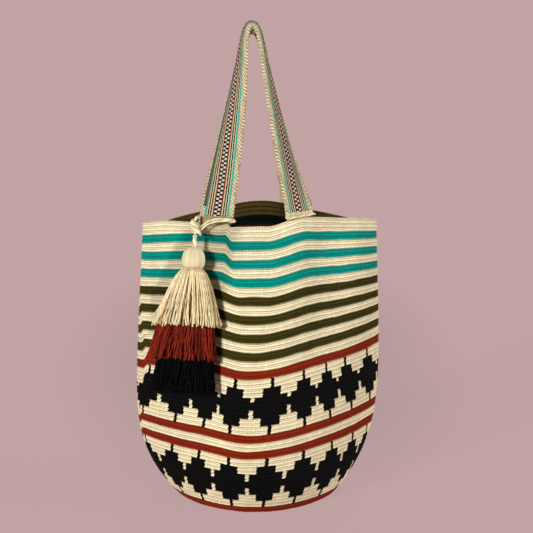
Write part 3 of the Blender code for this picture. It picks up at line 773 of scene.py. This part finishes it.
def add_outer_face(rows, low, high):
    """Outer face from one round to another. Loops of each round reach over the next one like a comb."""
    levels = [count + part_way for count in range(low, high) for part_way in ROWS] + [high]
    lines = [outer_line(level) for level in levels]
    smooth = np.array([wall_points(stitch_angles(places, level / COUNT), share)
                       for level, (places, share) in zip(levels, lines)])
    outward = surface_normals(smooth)
    for index, level in enumerate(levels):
        count = min(int(level), COUNT)
        relief = np.array(RELIEF[index % len(ROWS)])[column_number % CELLS]
        lift = (relief + RELIEF_BASE + stitch_lift[count, stitch_number]) * MILLIMETRE
        paint = face_colours(min(count, COUNT - 1))
        if index % len(ROWS) == 0:
            paint = np.where(column_number[:-1] % 2 == 0, face_colours(count - 1), paint)
        pile = np.clip((relief - RELIEF[0][0]) / RELIEF_SPAN, 0, 1)
        # The last value is the painted shade of the wall's folds
        rows.add(smooth[index] + outward[index] * lift[:, None], pile, level, paint,
                 stitch_tone[count, stitch_number], fold_shade(smooth[index], level / COUNT))


def add_rim(rows):
    """Chain of loops over the rim's top."""
    angles = stitch_angles(leaning(COUNT), 1.0)
    far = np.sin(angles[:-1]) > 0
    for share, rise in RIM_RINGS:
        line = wall_points(angles, 1.0, inset=WALL * share)
        line[:, 2] += (rise + 0.45 * link_crown - 0.2) * MILLIMETRE
        # Painted shade: the inner loops of the far half of the rim take the dark inside yarn
        paint = painted(PAINT, far & (share > 0.2), "shaded_inside_brown", "cream")
        rows.add(line, 0.35 + 0.6 * link_crown, COUNT + share, paint)


def add_inner_face(rows, low, high, steps):
    """Inner face from one round down to another, with a low ridge along each round."""
    for count in range(high - 1, low - 1, -1):
        if RULES[count] in BLACK_REACH:
            paint = painted(PAINT, face_colours(count) == PAINT["black"], "black", "shaded_inside_brown")
        else:
            # Painted shade: cream rounds below SHADED_ROUND take the darker inside yarn
            shaded = RULES[count] == "cream" and count < SHADED_ROUND
            paint = "shaded_inside_rust" if shaded else INSIDE[RULES[count]]
        for step in range(steps):
            part_way = 1 - step / steps
            level = count + part_way
            places = leaning(level)
            share = np.clip((level + spiral(places, level)) / COUNT, 0, 1)
            line = wall_points(stitch_angles(places, level / COUNT), share, inset=WALL)
            inward = -line * (1, 1, 0)
            inward /= np.linalg.norm(inward, axis=1, keepdims=True)
            crown = math.sin(math.pi * part_way)
            line = line + inward * (INNER_RIDGE * crown * (0.6 + 0.4 * link_crown))[:, None]
            rows.add(line, 0.3 + 0.7 * crown * (0.7 + 0.3 * link_crown), level, paint)


def add_floor(rows):
    """Floor of the bag: its inside, then its rounds of crochet seen from below."""
    inner_edge = wall_points(stitch_angles(STITCH_LINE, 0.0), 0.0, inset=WALL)
    for share in np.linspace(0.97, 0.0, 9):
        # Painted shade: the inside of the bag's floor takes the dark inside yarn
        rows.add(inner_edge * (share, share, 0) + (0, 0, WALL), 0.7, share * FLOOR_RINGS, "shaded_inside_rust")
    edge = rows.points[0]
    for step in range(2 * FLOOR_RINGS):
        share = step / (2 * FLOOR_RINGS)
        groove = step % 2 == 0
        line = edge * (share, share, 0) + (0, 0, 0.0009 if groove and step else 0.0001)
        colour = "rust" if step >= 2 * (FLOOR_RINGS - 2) else "cream"
        rows.add(line, 0.1 if groove else 0.6 + 0.4 * link_crown, step / 2, colour)


def declare(obj, body, node):
    """Tell the frame which body the piece moves with, and hide the frame's part for the node it stands for.
    """
    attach(obj, body)
    if node:
        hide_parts(node)


def body_band(name, low, high, inner_steps, rim=False, floor=False):
    """Closed ring of crochet between two rounds, with the rim or the floor at its end."""
    rows = Rows()
    add_outer_face(rows, low, high)
    if rim:
        add_rim(rows)
    add_inner_face(rows, low, high, inner_steps)
    if floor:
        add_floor(rows)
    rows.close()
    values = {key: np.array(value) for key, value in rows.values.items()}
    uv = (column_number / CELLS, values.pop("level"))
    obj = bent_grid(name, np.array(rows.points), list(yarns.values()), uv, values, np.array(rows.paints))
    declare(obj, "bag", "bag_body")


body_band("bag_base_and_lower_wall", 0, 12, 1, floor=True)
body_band("bag_lower_pattern_wall", 12, 32, 1)
body_band("bag_middle_wall", 32, 52, 1)
body_band("bag_top_wall", 52, COUNT, 3, rim=True)


# Straps
def strap_ends(strap):
    """Foot of each leg, and the level direction from its outer to its inner edge there."""
    ends = {}
    for end, x in strap["foot"].items():
        along = rim_point(x + RIM_STEP, strap["side"]) - rim_point(x - RIM_STEP, strap["side"])
        along.z = 0
        inward = along.normalized() * -end
        ends[end] = (rim_point(x, strap["side"]), math.atan2(inward.y * strap["side"], abs(inward.x)))
    return ends


for strap in (FRONT_STRAP, BACK_STRAP):
    strap["ends"] = strap_ends(strap)


def strap_centre(strap, run):
    """Point on the strap's middle line: run goes from -1 at the left foot over the top to 1."""
    leg = -1 if run < 0 else 1
    base = strap["ends"][leg][0]
    fall = run * run
    spread = abs(base.x - STRAP_TOP_X) - strap["half_gap"]
    arch = strap["half_gap"] * math.sqrt(max(0.0, 1 - (1 - fall) ** ARCH_SHARPNESS))
    x = STRAP_TOP_X + math.copysign(spread * fall ** strap["bow"][leg] + arch, run)
    y = strap["top_y"] + (base.y - strap["top_y"]) * fall
    start = base.z + RIM_CROWN + RIM_SEAT
    return Vector((x, y, strap["top"] + (start - strap["top"]) * fall))


def strap_frame(strap, run):
    """Centre of the strap, the direction across it from outer to inner edge, and out of its face."""
    leg = -1 if run < 0 else 1
    foot = strap["ends"][leg][1]
    height = 1 - run * run
    turn = foot + (math.pi / 2 - foot) * height ** strap["twist"][leg]
    across = Vector((math.cos(turn) * -leg, math.sin(turn) * strap["side"], 0))
    ahead, behind = min(run + RUN_STEP, 1), max(run - RUN_STEP, -1)
    tangent = (strap_centre(strap, ahead) - strap_centre(strap, behind)).normalized()
    blend = min(1, height / STRAP_SETTLE)
    across = (across - tangent * across.dot(tangent) * blend).normalized()
    return strap_centre(strap, run), across, tangent.cross(across).normalized()


def even_runs(strap, spacing):
    """Runs at even lengths along the strap."""
    fine = np.linspace(-1, 1, 1601)
    arc = lengths_along(np.array([strap_centre(strap, float(run)) for run in fine]))
    count = int(round(arc[-1] / spacing))
    return np.interp(np.linspace(0, arc[-1], count + 1), arc, fine)


threads = {name: woven_thread(name, *rest) for name, *rest in (
    ("cream_thread", CREAM, CREAM_DEEP),
    ("teal_thread", (0.03, 0.4, 0.33), (0.01, 0.2, 0.165)),
    ("olive_thread", (0.03, 0.026, 0.005), (0.01, 0.008, 0.002)),
    ("rust_thread", (0.21, 0.02, 0.01), (0.08, 0.008, 0.005)),
    ("black_thread", (0.004, 0.004, 0.0045), (0.0015, 0.0015, 0.002), 0.0),
    ("white_thread", (0.66, 0.62, 0.54), (0.35, 0.3, 0.22)),
    ("edging", (0.86, 0.76, 0.49), (0.3, 0.2, 0.08), 0.02, 260),
    ("outer_edging", (0.82, 0.72, 0.46), (0.24, 0.17, 0.08), 0.02, -260),
    # Painted shade: darker copies of the edging and teal threads, for the strap parts that lie in shade
    ("shaded_edging", (0.125, 0.13, 0.095), (0.03, 0.032, 0.02)),
    ("shaded_top_edging", (0.04, 0.036, 0.024), (0.01, 0.009, 0.006)),
    ("shaded_teal", (0.115, 0.2, 0.155), (0.04, 0.085, 0.065)),
    ("shaded_tan_edging", (0.6, 0.52, 0.37), (0.3, 0.24, 0.14)),
)}
THREAD = {name: number for number, name in enumerate(threads)}


def strap_profile():
    """Shares across the strap's face, the thread of each strip, and the crown at each edge."""
    total = sum(thread[1] for thread in STRAP_THREADS)
    edges, owners, crowns = [-0.5], [], [0.0]
    start = -0.5
    for kind, width, columns in STRAP_THREADS:
        for step in range(1, columns + 1):
            edges.append(start + width / total * step / columns)
            owners.append(kind)
            crowns.append(math.sin(math.pi * step / columns) if columns > 1 else 0.3)
        start += width / total
    return np.array(edges), owners, np.array(crowns)


def strip_paint(kind, cells, dark_top):
    """Paint along one strip: the check strips alternate, painted shade darkens the outer threads up the legs,
    and painted shade darkens the back strap's inner edging at its top.
    """
    half_cell = np.arange(cells)
    from_foot = np.minimum(half_cell, cells - 1 - half_cell)
    if kind in ("check_a", "check_b"):
        black = (half_cell // 2) % 2 == (0 if kind == "check_a" else 1)
        return painted(THREAD, black, "black_thread", "white_thread")
    # Painted shade: the back strap's inner edging is painted dark near its top
    if kind == "edging" and dark_top:
        return painted(THREAD, from_foot > cells / 2 - DARK_TOP, "shaded_top_edging", "edging")
    if kind == "outer_teal":
        return painted(THREAD, from_foot > LIT_FOOT, "shaded_teal", "teal_thread")
    if kind == "shaded_edging":
        shade = painted(THREAD, half_cell < cells / 2, "shaded_edging", "shaded_tan_edging")
        return np.where(from_foot > LIT_FOOT, shade, THREAD["edging"])
    return np.full(cells, THREAD[kind])


def strap_row(kind, share, crown, along, noise):
    """Lateral shift, height over the face and pile of one line of the strap's weave, along its length."""
    beat = math.pi * along / CHECK_LENGTH
    lateral = math.exp(-(share / 0.3) ** 6) * 0.00022 * np.sin(beat)
    at_edge = abs(abs(share) - 0.5) < 1e-6
    if kind in ("edging", "outer_edging", "shaded_edging"):
        knob = np.abs(np.sin(math.pi * along / KNOB_LENGTH + share * 44))
        height = -0.4 + 0.5 * crown + 0.55 * knob + 0.2 * noise
        height = height + (0.7 * crown if kind == "outer_edging" else 0.0)
        pile = 0.12 + 0.14 * crown + 0.85 * knob - 0.4 * noise
        lateral = lateral + (np.sign(share) * THREAD_RELIEF * knob if at_edge else 0.0)
    else:
        pick = np.abs(np.sin(beat * 1.33 + 0.8))
        height = -0.4 + 0.42 * crown * (0.6 + 0.4 * pick) + 0.06 * noise
        pile = 0.25 + crown * (0.45 + 0.55 * pick)
    if at_edge:
        height = np.full(len(along), -1.0)
    return lateral, height * THREAD_RELIEF, np.clip(pile, 0, 1)


def make_strap(name, strap, node):
    """Woven band along the strap's middle line, cupped across its width away from the feet."""
    runs = even_runs(strap, CHECK_LENGTH / 2)
    edges, owners, crowns = strap_profile()
    frames = [strap_frame(strap, float(run)) for run in runs]
    centre, across, face = (np.array([place[k] for place in frames]) for k in range(3))
    along = np.arange(len(runs)) * CHECK_LENGTH / 2
    cup = CUP_TURN * ramp(1 - runs * runs, *CUP_RISE) * np.interp(runs, *RIGHT_CUP) + 1e-6
    noise = rng.random((len(edges), len(runs)))
    order = [(i, 1) for i in range(len(edges))] + [(i, -1) for i in range(len(edges) - 1, -1, -1)]
    lines, piles, shares, tones, paint = [], [], [], [], []
    for i, side in order:
        share = edges[i]
        kind = owners[min(i, len(owners) - 1)]
        lateral, height, pile = strap_row(kind, share, crowns[i], along, noise[i])
        offset = np.sin(cup * share) / cup * STRAP_WIDTH * STRAP_SPREAD + lateral
        depth = 0.45 + 0.55 * np.cos(cup / 2) - np.cos(cup * share)
        rise = side * (STRAP_THICKNESS / 2 + height) + depth / cup * STRAP_WIDTH * -strap["side"]
        lines.append(centre + across * offset[:, None] + face * rise[:, None])
        piles.append(pile)
        shares.append(share * STRAP_WIDTH)
        tones.append(noise[i])
        strip = owners[min(i if side > 0 else max(i - 1, 0), len(owners) - 1)]
        paint.append(strip_paint(strip, len(runs) - 1, strap["side"] > 0))
    for series in (lines, piles, shares, tones):
        series.append(series[0])
    points = np.array(lines)
    ends = [np.broadcast_to(points[:, end].mean(0), (len(lines), 1, 3)) for end in (0, -1)]
    capped = np.concatenate([ends[0], points, ends[1]], axis=1)
    piles, tones, paint = (np.pad(series, ((0, 0), (1, 1)), mode="edge") for series in (piles, tones, paint))
    uv = (np.array(shares)[:, None], np.pad(along, 1, mode="edge"))
    obj = bent_grid(name, capped, list(threads.values()), uv, {"pile": piles, "tone": tones}, paint)
    declare(obj, "bag", node)


make_strap("front_woven_strap", FRONT_STRAP, "front_strap")
make_strap("back_woven_strap", BACK_STRAP, "back_strap")


# Strands
def smooth_route(points, spacing):
    """Even points on a smooth curve through the route's own points."""
    points = [Vector(p) for p in points]
    padded = [points[0] * 2 - points[1]] + points + [points[-1] * 2 - points[-2]]
    dense = []
    for a, b, c, d in zip(padded, padded[1:], padded[2:], padded[3:]):
        for t in np.linspace(0, 1, 16, endpoint=False):
            dense.append(0.5 * (2 * b + (c - a) * t + (2 * a - 5 * b + 4 * c - d) * t * t
                                + (3 * b - a - 3 * c + d) * t ** 3))
    dense.append(points[-1])
    dense = np.array(dense)
    arc = lengths_along(dense)
    at = np.linspace(0, arc[-1], max(2, int(round(arc[-1] / spacing)) + 1))
    return np.stack([np.interp(at, arc, dense[:, k]) for k in range(3)], -1)


def sweep(line, radius, sides, lobes=0, depth=0.0, pitch=1.0):
    """Rings of a strand along a line, closed at its ends: lobes wind round it once in every pitch."""
    line = np.asarray(line, float)
    tangent = np.gradient(line, axis=0)
    tangent /= np.linalg.norm(tangent, axis=1, keepdims=True) + 1e-12
    side = np.cross(tangent[0], (0.31, -0.87, 0.38))
    first_axis = []
    for t in tangent:
        side = side - t * side.dot(t)
        side /= np.linalg.norm(side)
        first_axis.append(side)
    a = np.array(first_axis)
    b = np.cross(tangent, a)
    arc = lengths_along(line)
    radius = np.broadcast_to(np.asarray(radius, float), (len(line),))[:, None]
    turn = np.linspace(0, 2 * math.pi, sides + 1)
    size = radius * (1 + depth * np.cos(lobes * (turn - 2 * math.pi * arc[:, None] / pitch)))
    rings = (line[:, None] + (size * np.cos(turn))[..., None] * a[:, None]
             + (size * np.sin(turn))[..., None] * b[:, None])
    rings[:, -1] = rings[:, 0]
    around = np.broadcast_to(turn / (2 * math.pi), rings.shape[:2])
    length = np.broadcast_to(arc[:, None], rings.shape[:2])
    tips = [np.broadcast_to(tip, (1, sides + 1, 3)) for tip in (line[0], line[-1])]
    around, length = (np.concatenate([part[:1], part, part[-1:]]) for part in (around, length))
    return np.concatenate([tips[0], rings, tips[1]]), around, length


def join_strands(name, strands, material):
    """One mesh of many strands, each a (rings, around, length, tone) set of the same shape."""
    rings = strands[0][0]
    mesh, row, column = flat_grid(name, rings.shape[0] - 1, rings.shape[1] - 1, len(strands))
    points, *uv = (np.concatenate([strand[k][row, column] for strand in strands]) for k in range(3))
    dress(mesh, points, uv, {"tone": np.repeat([strand[3] for strand in strands], len(row))})
    close_up(mesh, 1e-7)
    mesh.materials.append(material)
    return link(bpy.data.objects.new(name, mesh))


cord_finish = strand_yarn("cream_cord", CREAM, CREAM_DEEP, 90, 0.8)
head_finish = strand_yarn("head_yarn", (0.86, 0.765, 0.51), (0.68, 0.55, 0.33), 60, 0.9, uneven=0.92)
binding_finish = strand_yarn("binding_yarn", (0.8, 0.7, 0.47), (0.5, 0.36, 0.18), 90, 0.85)
shaded_binding_finish = strand_yarn(
    "shaded_binding_yarn", (0.46, 0.37, 0.225), (0.28, 0.19, 0.09), 90, 0.85)
strand_finishes = {name: strand_yarn(name + "_strands", *rest) for name, *rest in (
    ("cream", (0.98, 0.885, 0.6), (0.7, 0.475, 0.2), 110, 0.93, 0.02, 0.8, 1.0),
    ("rust", (0.33, 0.032, 0.013), (0.1, 0.009, 0.005), 110, 0.85, 0.02, 0.62, 0.8),
    ("black", (0.0045, 0.0045, 0.0055), (0.0015, 0.0015, 0.002), 150, 0.72, 0.0, 0.5),
)}


# Bindings
def binding_outline(side_skin, face_skin, count):
    """Even outline round a strap end, as (across, through) pairs."""
    turn = np.linspace(0, 2 * math.pi, 721)
    c, s = np.cos(turn), np.sin(turn)
    a = (STRAP_WIDTH / 2 + side_skin) * np.sign(c) * np.abs(c) ** BINDING_SQUARENESS
    t = (STRAP_THICKNESS / 2 + face_skin) * np.sign(s) * np.abs(s) ** BINDING_SQUARENESS
    arc = lengths_along(np.stack([a, t], -1))
    at = np.linspace(0, arc[-1], count + 1)
    return np.interp(at, arc, a), np.interp(at, arc, t)


def binding_foot(strap, end, x):
    """Height of the rim's top under the binding, which follows the rim's slope."""
    foot = strap_centre(strap, end).x
    left, right = (rim_point(foot + step, strap["side"]) for step in (-FOOT_STEP, FOOT_STEP))
    slant = (right.z - left.z) / (right.x - left.x)
    return rim_point(foot, strap["side"]).z + RIM_CROWN + BINDING_CLEARANCE + (x - foot) * slant


def make_binding(place, strap, end, flat):
    """Yarn wound round a strap's end: flat turns on the tassel's side, upright stitches elsewhere."""
    wraps, cells = BINDING_WRAPS, 4
    column = np.arange(wraps * cells + 1)
    stitches = np.abs(np.sin(math.pi * column / cells))
    start, height = strap_centre(strap, end).z, BINDING_HEIGHT[place]
    rises = np.linspace(0, 1, 2 * LINES_ACROSS_BINDING + 1)
    lines = []
    for index, rise in enumerate(rises):
        run = end * math.sqrt(1 - height * rise / (strap["top"] - start))
        centre, across, _ = strap_frame(strap, run)
        through = across.cross(Vector((0, 0, 1))).normalized()
        ease = -BINDING_EASE * max(0.0, abs(2 * rise - 1) - EASE_START) / (1 - EASE_START)
        turns = FLAT_TURNS[index % 2] if flat else 0.0
        a, t = binding_outline(BINDING_SIDE_SKIN + ease, BINDING_FACE_SKIN + ease + turns, len(column) - 1)
        rib = 1 if flat else 1 + STITCH_RIB * (stitches - 0.5)
        points = np.array(centre) + np.outer(a, across) + np.outer(t * rib, through)
        bottom = binding_foot(strap, end, points[:, 0])
        points[:, 2] = bottom + (start + height - bottom) * rise
        lines.append(points)
    caps = [np.broadcast_to(line.mean(0), line.shape) for line in (lines[0], lines[-1])]
    points = np.array([caps[0]] + lines + [caps[1]])
    points[:, -1] = points[:, 0]
    rows = np.arange(len(points))[:, None] / 2
    tone = np.repeat(rng.random(wraps + 1), cells)[: len(column)]
    rank = np.repeat(rng.random(len(points)), 2)[: len(points)]
    uv = (rows if flat else (column % cells) / cells * 0.5, rows * 0.001)
    obj = bent_grid(place + "_wrapping", points, [shaded_binding_finish if flat else binding_finish], uv,
                    {"tone": rank[:, None] if flat else tone})
    declare(obj, "bag", place + "_binding")


for label, strap in (("front", FRONT_STRAP), ("back", BACK_STRAP)):
    for end, side in ((-1, "left"), (1, "right")):
        make_binding(label + "_" + side, strap, end, (label, side) == ("front", "left"))


# Tassel
joints = {joint["name"]: joint for joint in frame["joints"]}
tassel_top = np.array(joints["tassel_swing"]["pos_m"])
tassel_out = np.array(joints["tassel_swing"]["axis"])
tassel_down = np.array(joints["tassel_lift"]["pos_m"]) - tassel_top
tassel_down /= np.linalg.norm(tassel_down)
tassel_across = np.cross(tassel_down, tassel_out)


def tassel_place(along, aside, off):
    """Point in the tassel's own directions: down its length, across, and off the wall."""
    along, aside, off = np.broadcast_arrays(along, aside, off)
    return (tassel_top + along[..., None] * tassel_down + aside[..., None] * tassel_across
            + off[..., None] * tassel_out)


def bell(share, angle, reach, sizes):
    """Sideways and outward place in a skirt at a share of its length, at a reach out from its middle."""
    top_half, top_depth, low_half, low_depth = sizes
    spread = share ** SKIRT_FLARE
    aside = (top_half + (low_half - top_half) * spread) * reach * np.cos(angle)
    off = (top_depth + (low_depth - top_depth) * spread) * reach * np.sin(angle)
    return aside, off


def make_skirt(colour, start, length, sizes, layers, thickness):
    """Cut strands in layers: each waves a little and leans to its clump, so that dark gaps open below."""
    strands = []
    share = np.linspace(0, 1, 13)
    for count, reach, shorter in layers:
        clump = 2 * math.pi * CLUMP_STRANDS / count
        for index in range(count):
            angle = 2 * math.pi * (index + rng.uniform(-0.5, 0.5)) / count
            middle = clump * (math.floor(angle / clump) + 0.5 + rng.uniform(-0.6, 0.6))
            sway = rng.uniform(0.02, 0.06) * np.sin(share * rng.uniform(3, 8) + rng.uniform(0, 6.28))
            lean = angle + (middle - angle) * CLUMP_PULL * share ** 2 + sway * share
            lean = lean + rng.normal(0, LEAN_SPREAD) * share
            aside, off = bell(share, lean, reach * rng.uniform(0.93, 1.03), sizes)
            curl = rng.normal(0, CURL_SPREAD, 2)
            aside = aside + curl[0] * share ** 2 * np.sin(share * 9 + index)
            off = off + curl[1] * share ** 2 * np.cos(share * 8 + index)
            off = np.maximum(off, -SKIRT_BACK[colour] + thickness * rng.uniform(0.6, 2.0))
            along = start + share * (length + rng.normal(0, LENGTH_SPREAD) - shorter)
            aside = aside + TASSEL_LEAN[colour] * (along - skirt_top)
            radius = thickness * rng.uniform(0.85, 1.15) * np.interp(share, STRAND_PLACES, STRAND_SIZES)
            rings, around, arc = sweep(tassel_place(along, aside, off), radius, 5)
            strands.append((rings, around, arc, rng.random()))
    skirt = join_strands("tassel_%s_strands" % colour, strands, strand_finishes[colour])
    declare(skirt, "tassel", "tassel_%s_skirt" % colour)


def make_head(start):
    """Onion of yarn: strands come down from the cord, swell, and are drawn in at the neck."""
    lobes, cells = 64, 4

    def by_lobe(sizes):
        return np.append(np.repeat(sizes, cells), sizes[0])

    turn = np.linspace(0, 2 * math.pi, lobes * cells + 1)
    ridge = np.abs(np.sin(turn * lobes / 2))
    jitter = by_lobe(rng.normal(0, 0.00012, lobes))
    along, radius = np.array(HEAD_PROFILE).T
    fine = np.linspace(0, along[-1], 34)
    lines = []
    for where, size in zip(fine, np.interp(fine, along, radius)):
        swell = size * HEAD_SIZE + (ridge * 0.00032 - 0.0003 + jitter) * min(1, size / 0.006)
        off = np.maximum(swell * np.sin(turn), -TASSEL_BACK)
        lines.append(tassel_place(start + where, swell * np.cos(turn), off))
    points = np.array(lines)
    points[:, -1] = points[:, 0]
    uv = ((np.arange(len(turn)) % cells) / cells * 0.5, fine[:, None] * 0.1)
    head = bent_grid("tassel_yarn_head", points, [head_finish], uv, {"tone": by_lobe(rng.random(lobes))})
    declare(head, "tassel", "tassel_head")


def make_neck(start):
    """Turns of cord in the crease under the head."""
    angle = np.linspace(0, 2 * math.pi, 49)
    turns = []
    for along in (0.0008, 0.0018):
        line = tassel_place(start + along, NECK_RADIUS * np.cos(angle), NECK_RADIUS * np.sin(angle))
        turns.append((*sweep(line, 0.0008, 8), rng.random()))
    neck = join_strands("tassel_neck_wrap", turns, cord_finish)
    declare(neck, "tassel", "tassel_neck")


make_head(HANGER_LENGTH)
make_neck(HANGER_LENGTH + HEAD_HEIGHT + PIECE_GAP)

skirt_top = HANGER_LENGTH + HEAD_HEIGHT + NECK_HEIGHT + 2 * PIECE_GAP
start = skirt_top
for colour, length, *sizes in TASSEL_TIERS:
    under = UNDER_TIER[colour]
    make_skirt(colour, start - under, length + under, sizes, TIER_LAYERS[colour], STRAND_RADIUS[colour])
    start += length

# Cord at the strap's foot
PITCH = math.radians(CAMERA_PITCH)
SIGHT = np.array([0, math.cos(PITCH), -math.sin(PITCH)])
UPRIGHT = np.array([0, math.sin(PITCH), math.cos(PITCH)])


def sighted(*places):
    """Points that the picture shows at pixels (across, down), each at its own depth along Y."""
    start = np.array(CAMERA_PLACE)
    points = []
    for px, py, y in places:
        aside, up = (px - PICTURE / 2) / FOCAL_PIXELS, (PICTURE / 2 - py) / FOCAL_PIXELS
        ray = SIGHT + aside * np.array([1, 0, 0]) + up * UPRIGHT
        points.append(tuple(start + ray * (y - start[1]) / ray[1]))
    return points


def cord_piece(name, route, radius, node=None, body="bag", sizes=(0.8, 1, 1, 0.8), lobe=0.1, pitch=0.012):
    """Loose two-ply cord along a route. sizes are shares of the radius at even places along it."""
    line = smooth_route(route, 0.0007)
    size = radius * np.interp(np.linspace(0, 1, len(line)), np.linspace(0, 1, len(sizes)), sizes)
    obj = join_strands(name, [(*sweep(line, size, 14, 2, lobe, pitch), 0.75)], cord_finish)
    declare(obj, body, node)


cord_piece("tassel_cord_lower_wrap", sighted(
    (198.4, 231.0, -0.0925), (200.6, 229.8, -0.0925), (203.6, 227.4, -0.0922), (207.6, 224.6, -0.0918),
    (212.5, 222.4, -0.0915), (219.5, 221.2, -0.0915), (226.5, 221.1, -0.091), (231.8, 221.6, -0.0895),
    (234.4, 221.8, -0.085), (233.8, 220.6, -0.078), (228.0, 219.5, -0.0745), (214.0, 219.5, -0.07),
    (203.0, 219.0, -0.065), (195.5, 217.5, -0.07),
), 0.00118, "tassel_loop", lobe=0.06)
cord_piece("tassel_cord_upper_wrap", sighted(
    (199.8, 227.6, -0.0885), (203.0, 224.9, -0.0885), (207.0, 222.0, -0.089), (212.6, 219.8, -0.09),
    (219.0, 219.0, -0.0905), (227.0, 219.2, -0.0905), (231.2, 219.9, -0.0885), (233.8, 220.4, -0.084),
    (232.6, 219.0, -0.0775), (226.0, 217.8, -0.0745), (213.0, 217.3, -0.07), (203.0, 217.0, -0.065),
    (197.8, 216.0, -0.068),
), 0.00108, lobe=0.06)
cord_piece("tassel_cord_arch", sighted(
    (198.6, 216.8, -0.08), (196.6, 217.9, -0.0845), (194.6, 220.2, -0.088), (192.9, 223.0, -0.0905),
    (192.0, 226.0, -0.0925), (192.6, 229.0, -0.093), (193.8, 232.0, -0.0932),
), 0.00165)
cord_piece("tassel_cord_tail", sighted(
    (193.4, 219.8, -0.0905), (192.2, 222.2, -0.0935), (193.4, 225.6, -0.0965), (196.0, 229.4, -0.0978),
    (198.6, 232.6, -0.0975), (200.9, 235.6, -0.096),
), 0.00235, sizes=(0.55, 0.95, 1.05, 1.0, 0.85, 0.3))
cord_piece("tassel_cord_knot", sighted(
    (199.4, 230.4, -0.0932), (197.2, 229.6, -0.0945), (194.4, 229.4, -0.094), (192.9, 230.6, -0.0915),
    (194.2, 232.2, -0.0905), (196.6, 231.8, -0.0915), (195.4, 230.4, -0.0935),
) + [tuple(tassel_top + tassel_down * 0.0006)], 0.0016, "tassel_knot")
hanging = [tuple(tassel_top + tassel_down * along) for along in (0.0014, 0.005, 0.009, 0.0142)]
cord_piece("tassel_hanging_cord", hanging, 0.00205, "tassel_hanger", "tassel_cord", (0.9, 1.0, 1.0, 0.95))


def ridge_route(strap, end):
    """Route of the twisted ridge of yarn that holds down a strap's end, along the foot of its binding."""
    centre, across, _ = strap_frame(strap, end)
    through = Vector((0, 0, 1)).cross(across).normalized()
    route = []
    for share in RIDGE_SHARES:
        point = centre - across * (share * STRAP_WIDTH) + through * RIDGE_OUT
        point.z = binding_foot(strap, end, point.x) + (RIDGE_RISE if share > -0.5 else RIDGE_END_RISE)
        route.append(tuple(point))
    return route


cord_piece("front_right_ridge", ridge_route(FRONT_STRAP, 1), 0.001, sizes=(1.5, 1.2, 0.9, 1.0, 1.0, 0.8),
           lobe=0.22, pitch=0.0052)


# Floor, light and air
def make_floor():
    """Pale ground with a painted shadow round the bag. It shows its own colour to the camera and keeps the
    shadow.
    """
    f = Finish("pale_floor")
    f.nodes.remove(f.shader)
    # Painted shadow: the ground darkens in an oval round the bag
    x, y = f.parts(f.place())
    aside = f.math("DIVIDE", x, SHADE_SIZE[0])
    ahead = f.math("DIVIDE", f.math("SUBTRACT", y, SHADE_MIDDLE), SHADE_SIZE[1])
    reach = f.math("SQRT", f.add(f.math("POWER", aside, 2.0), f.math("POWER", ahead, 2.0)))
    ground = f.scaled(GROUND, f.spread(reach, *SHADE_REACH, *SHADE_DEPTH))
    glow = f.node("ShaderNodeEmission", {"Color": ground, "Strength": 1.0})
    cloth = f.node("ShaderNodeBsdfDiffuse", {"Color": ground})
    camera_ray = f.node("ShaderNodeLightPath", output="Is Camera Ray")
    seen = f.math("MAXIMUM", camera_ray, camera_ray.node.outputs["Is Glossy Ray"])
    mix = f.node("ShaderNodeMixShader", {0: f.times(seen, FLOOR_GLOW), 1: cloth, 2: glow})
    f.put(f.nodes["Material Output"].inputs["Surface"], mix)
    bm = bmesh.new()
    bmesh.ops.create_grid(bm, x_segments=1, y_segments=1, size=30)
    mesh = new_mesh("floor", bm)
    mesh.materials.append(f.material)
    link(bpy.data.objects.new("floor", mesh))


def sun(name, strength, azimuth, height, colour, softness):
    """Distant lamp. Azimuth 0 shines on the front, and positive ones come from the right."""
    data = bpy.data.lights.new(name, "SUN")
    data.energy = strength
    data.color = colour
    data.angle = math.radians(softness)
    turn, rise = math.radians(azimuth), math.radians(height)
    source = Vector((math.sin(turn) * math.cos(rise), -math.cos(turn) * math.cos(rise), math.sin(rise)))
    obj = link(bpy.data.objects.new(name, data))
    obj.rotation_euler = (-source).to_track_quat("-Z", "Y").to_euler()


make_floor()
sun("key", 3.3, -32, 15, (1.0, 0.985, 0.955), 11)
sun("right_fill", 2.2, 82, 13, (1.0, 0.99, 0.97), 30)
sun("back_fill", 0.9, 172, 38, (1.0, 1.0, 1.0), 30)
world = bpy.data.worlds.new("studio")
world.use_nodes = True
background = world.node_tree.nodes["Background"]
background.inputs["Color"].default_value = (1.0, 0.985, 0.97, 1)
background.inputs["Strength"].default_value = 0.12
bpy.context.scene.world = world

bpy.context.scene.view_settings.view_transform = "Standard"
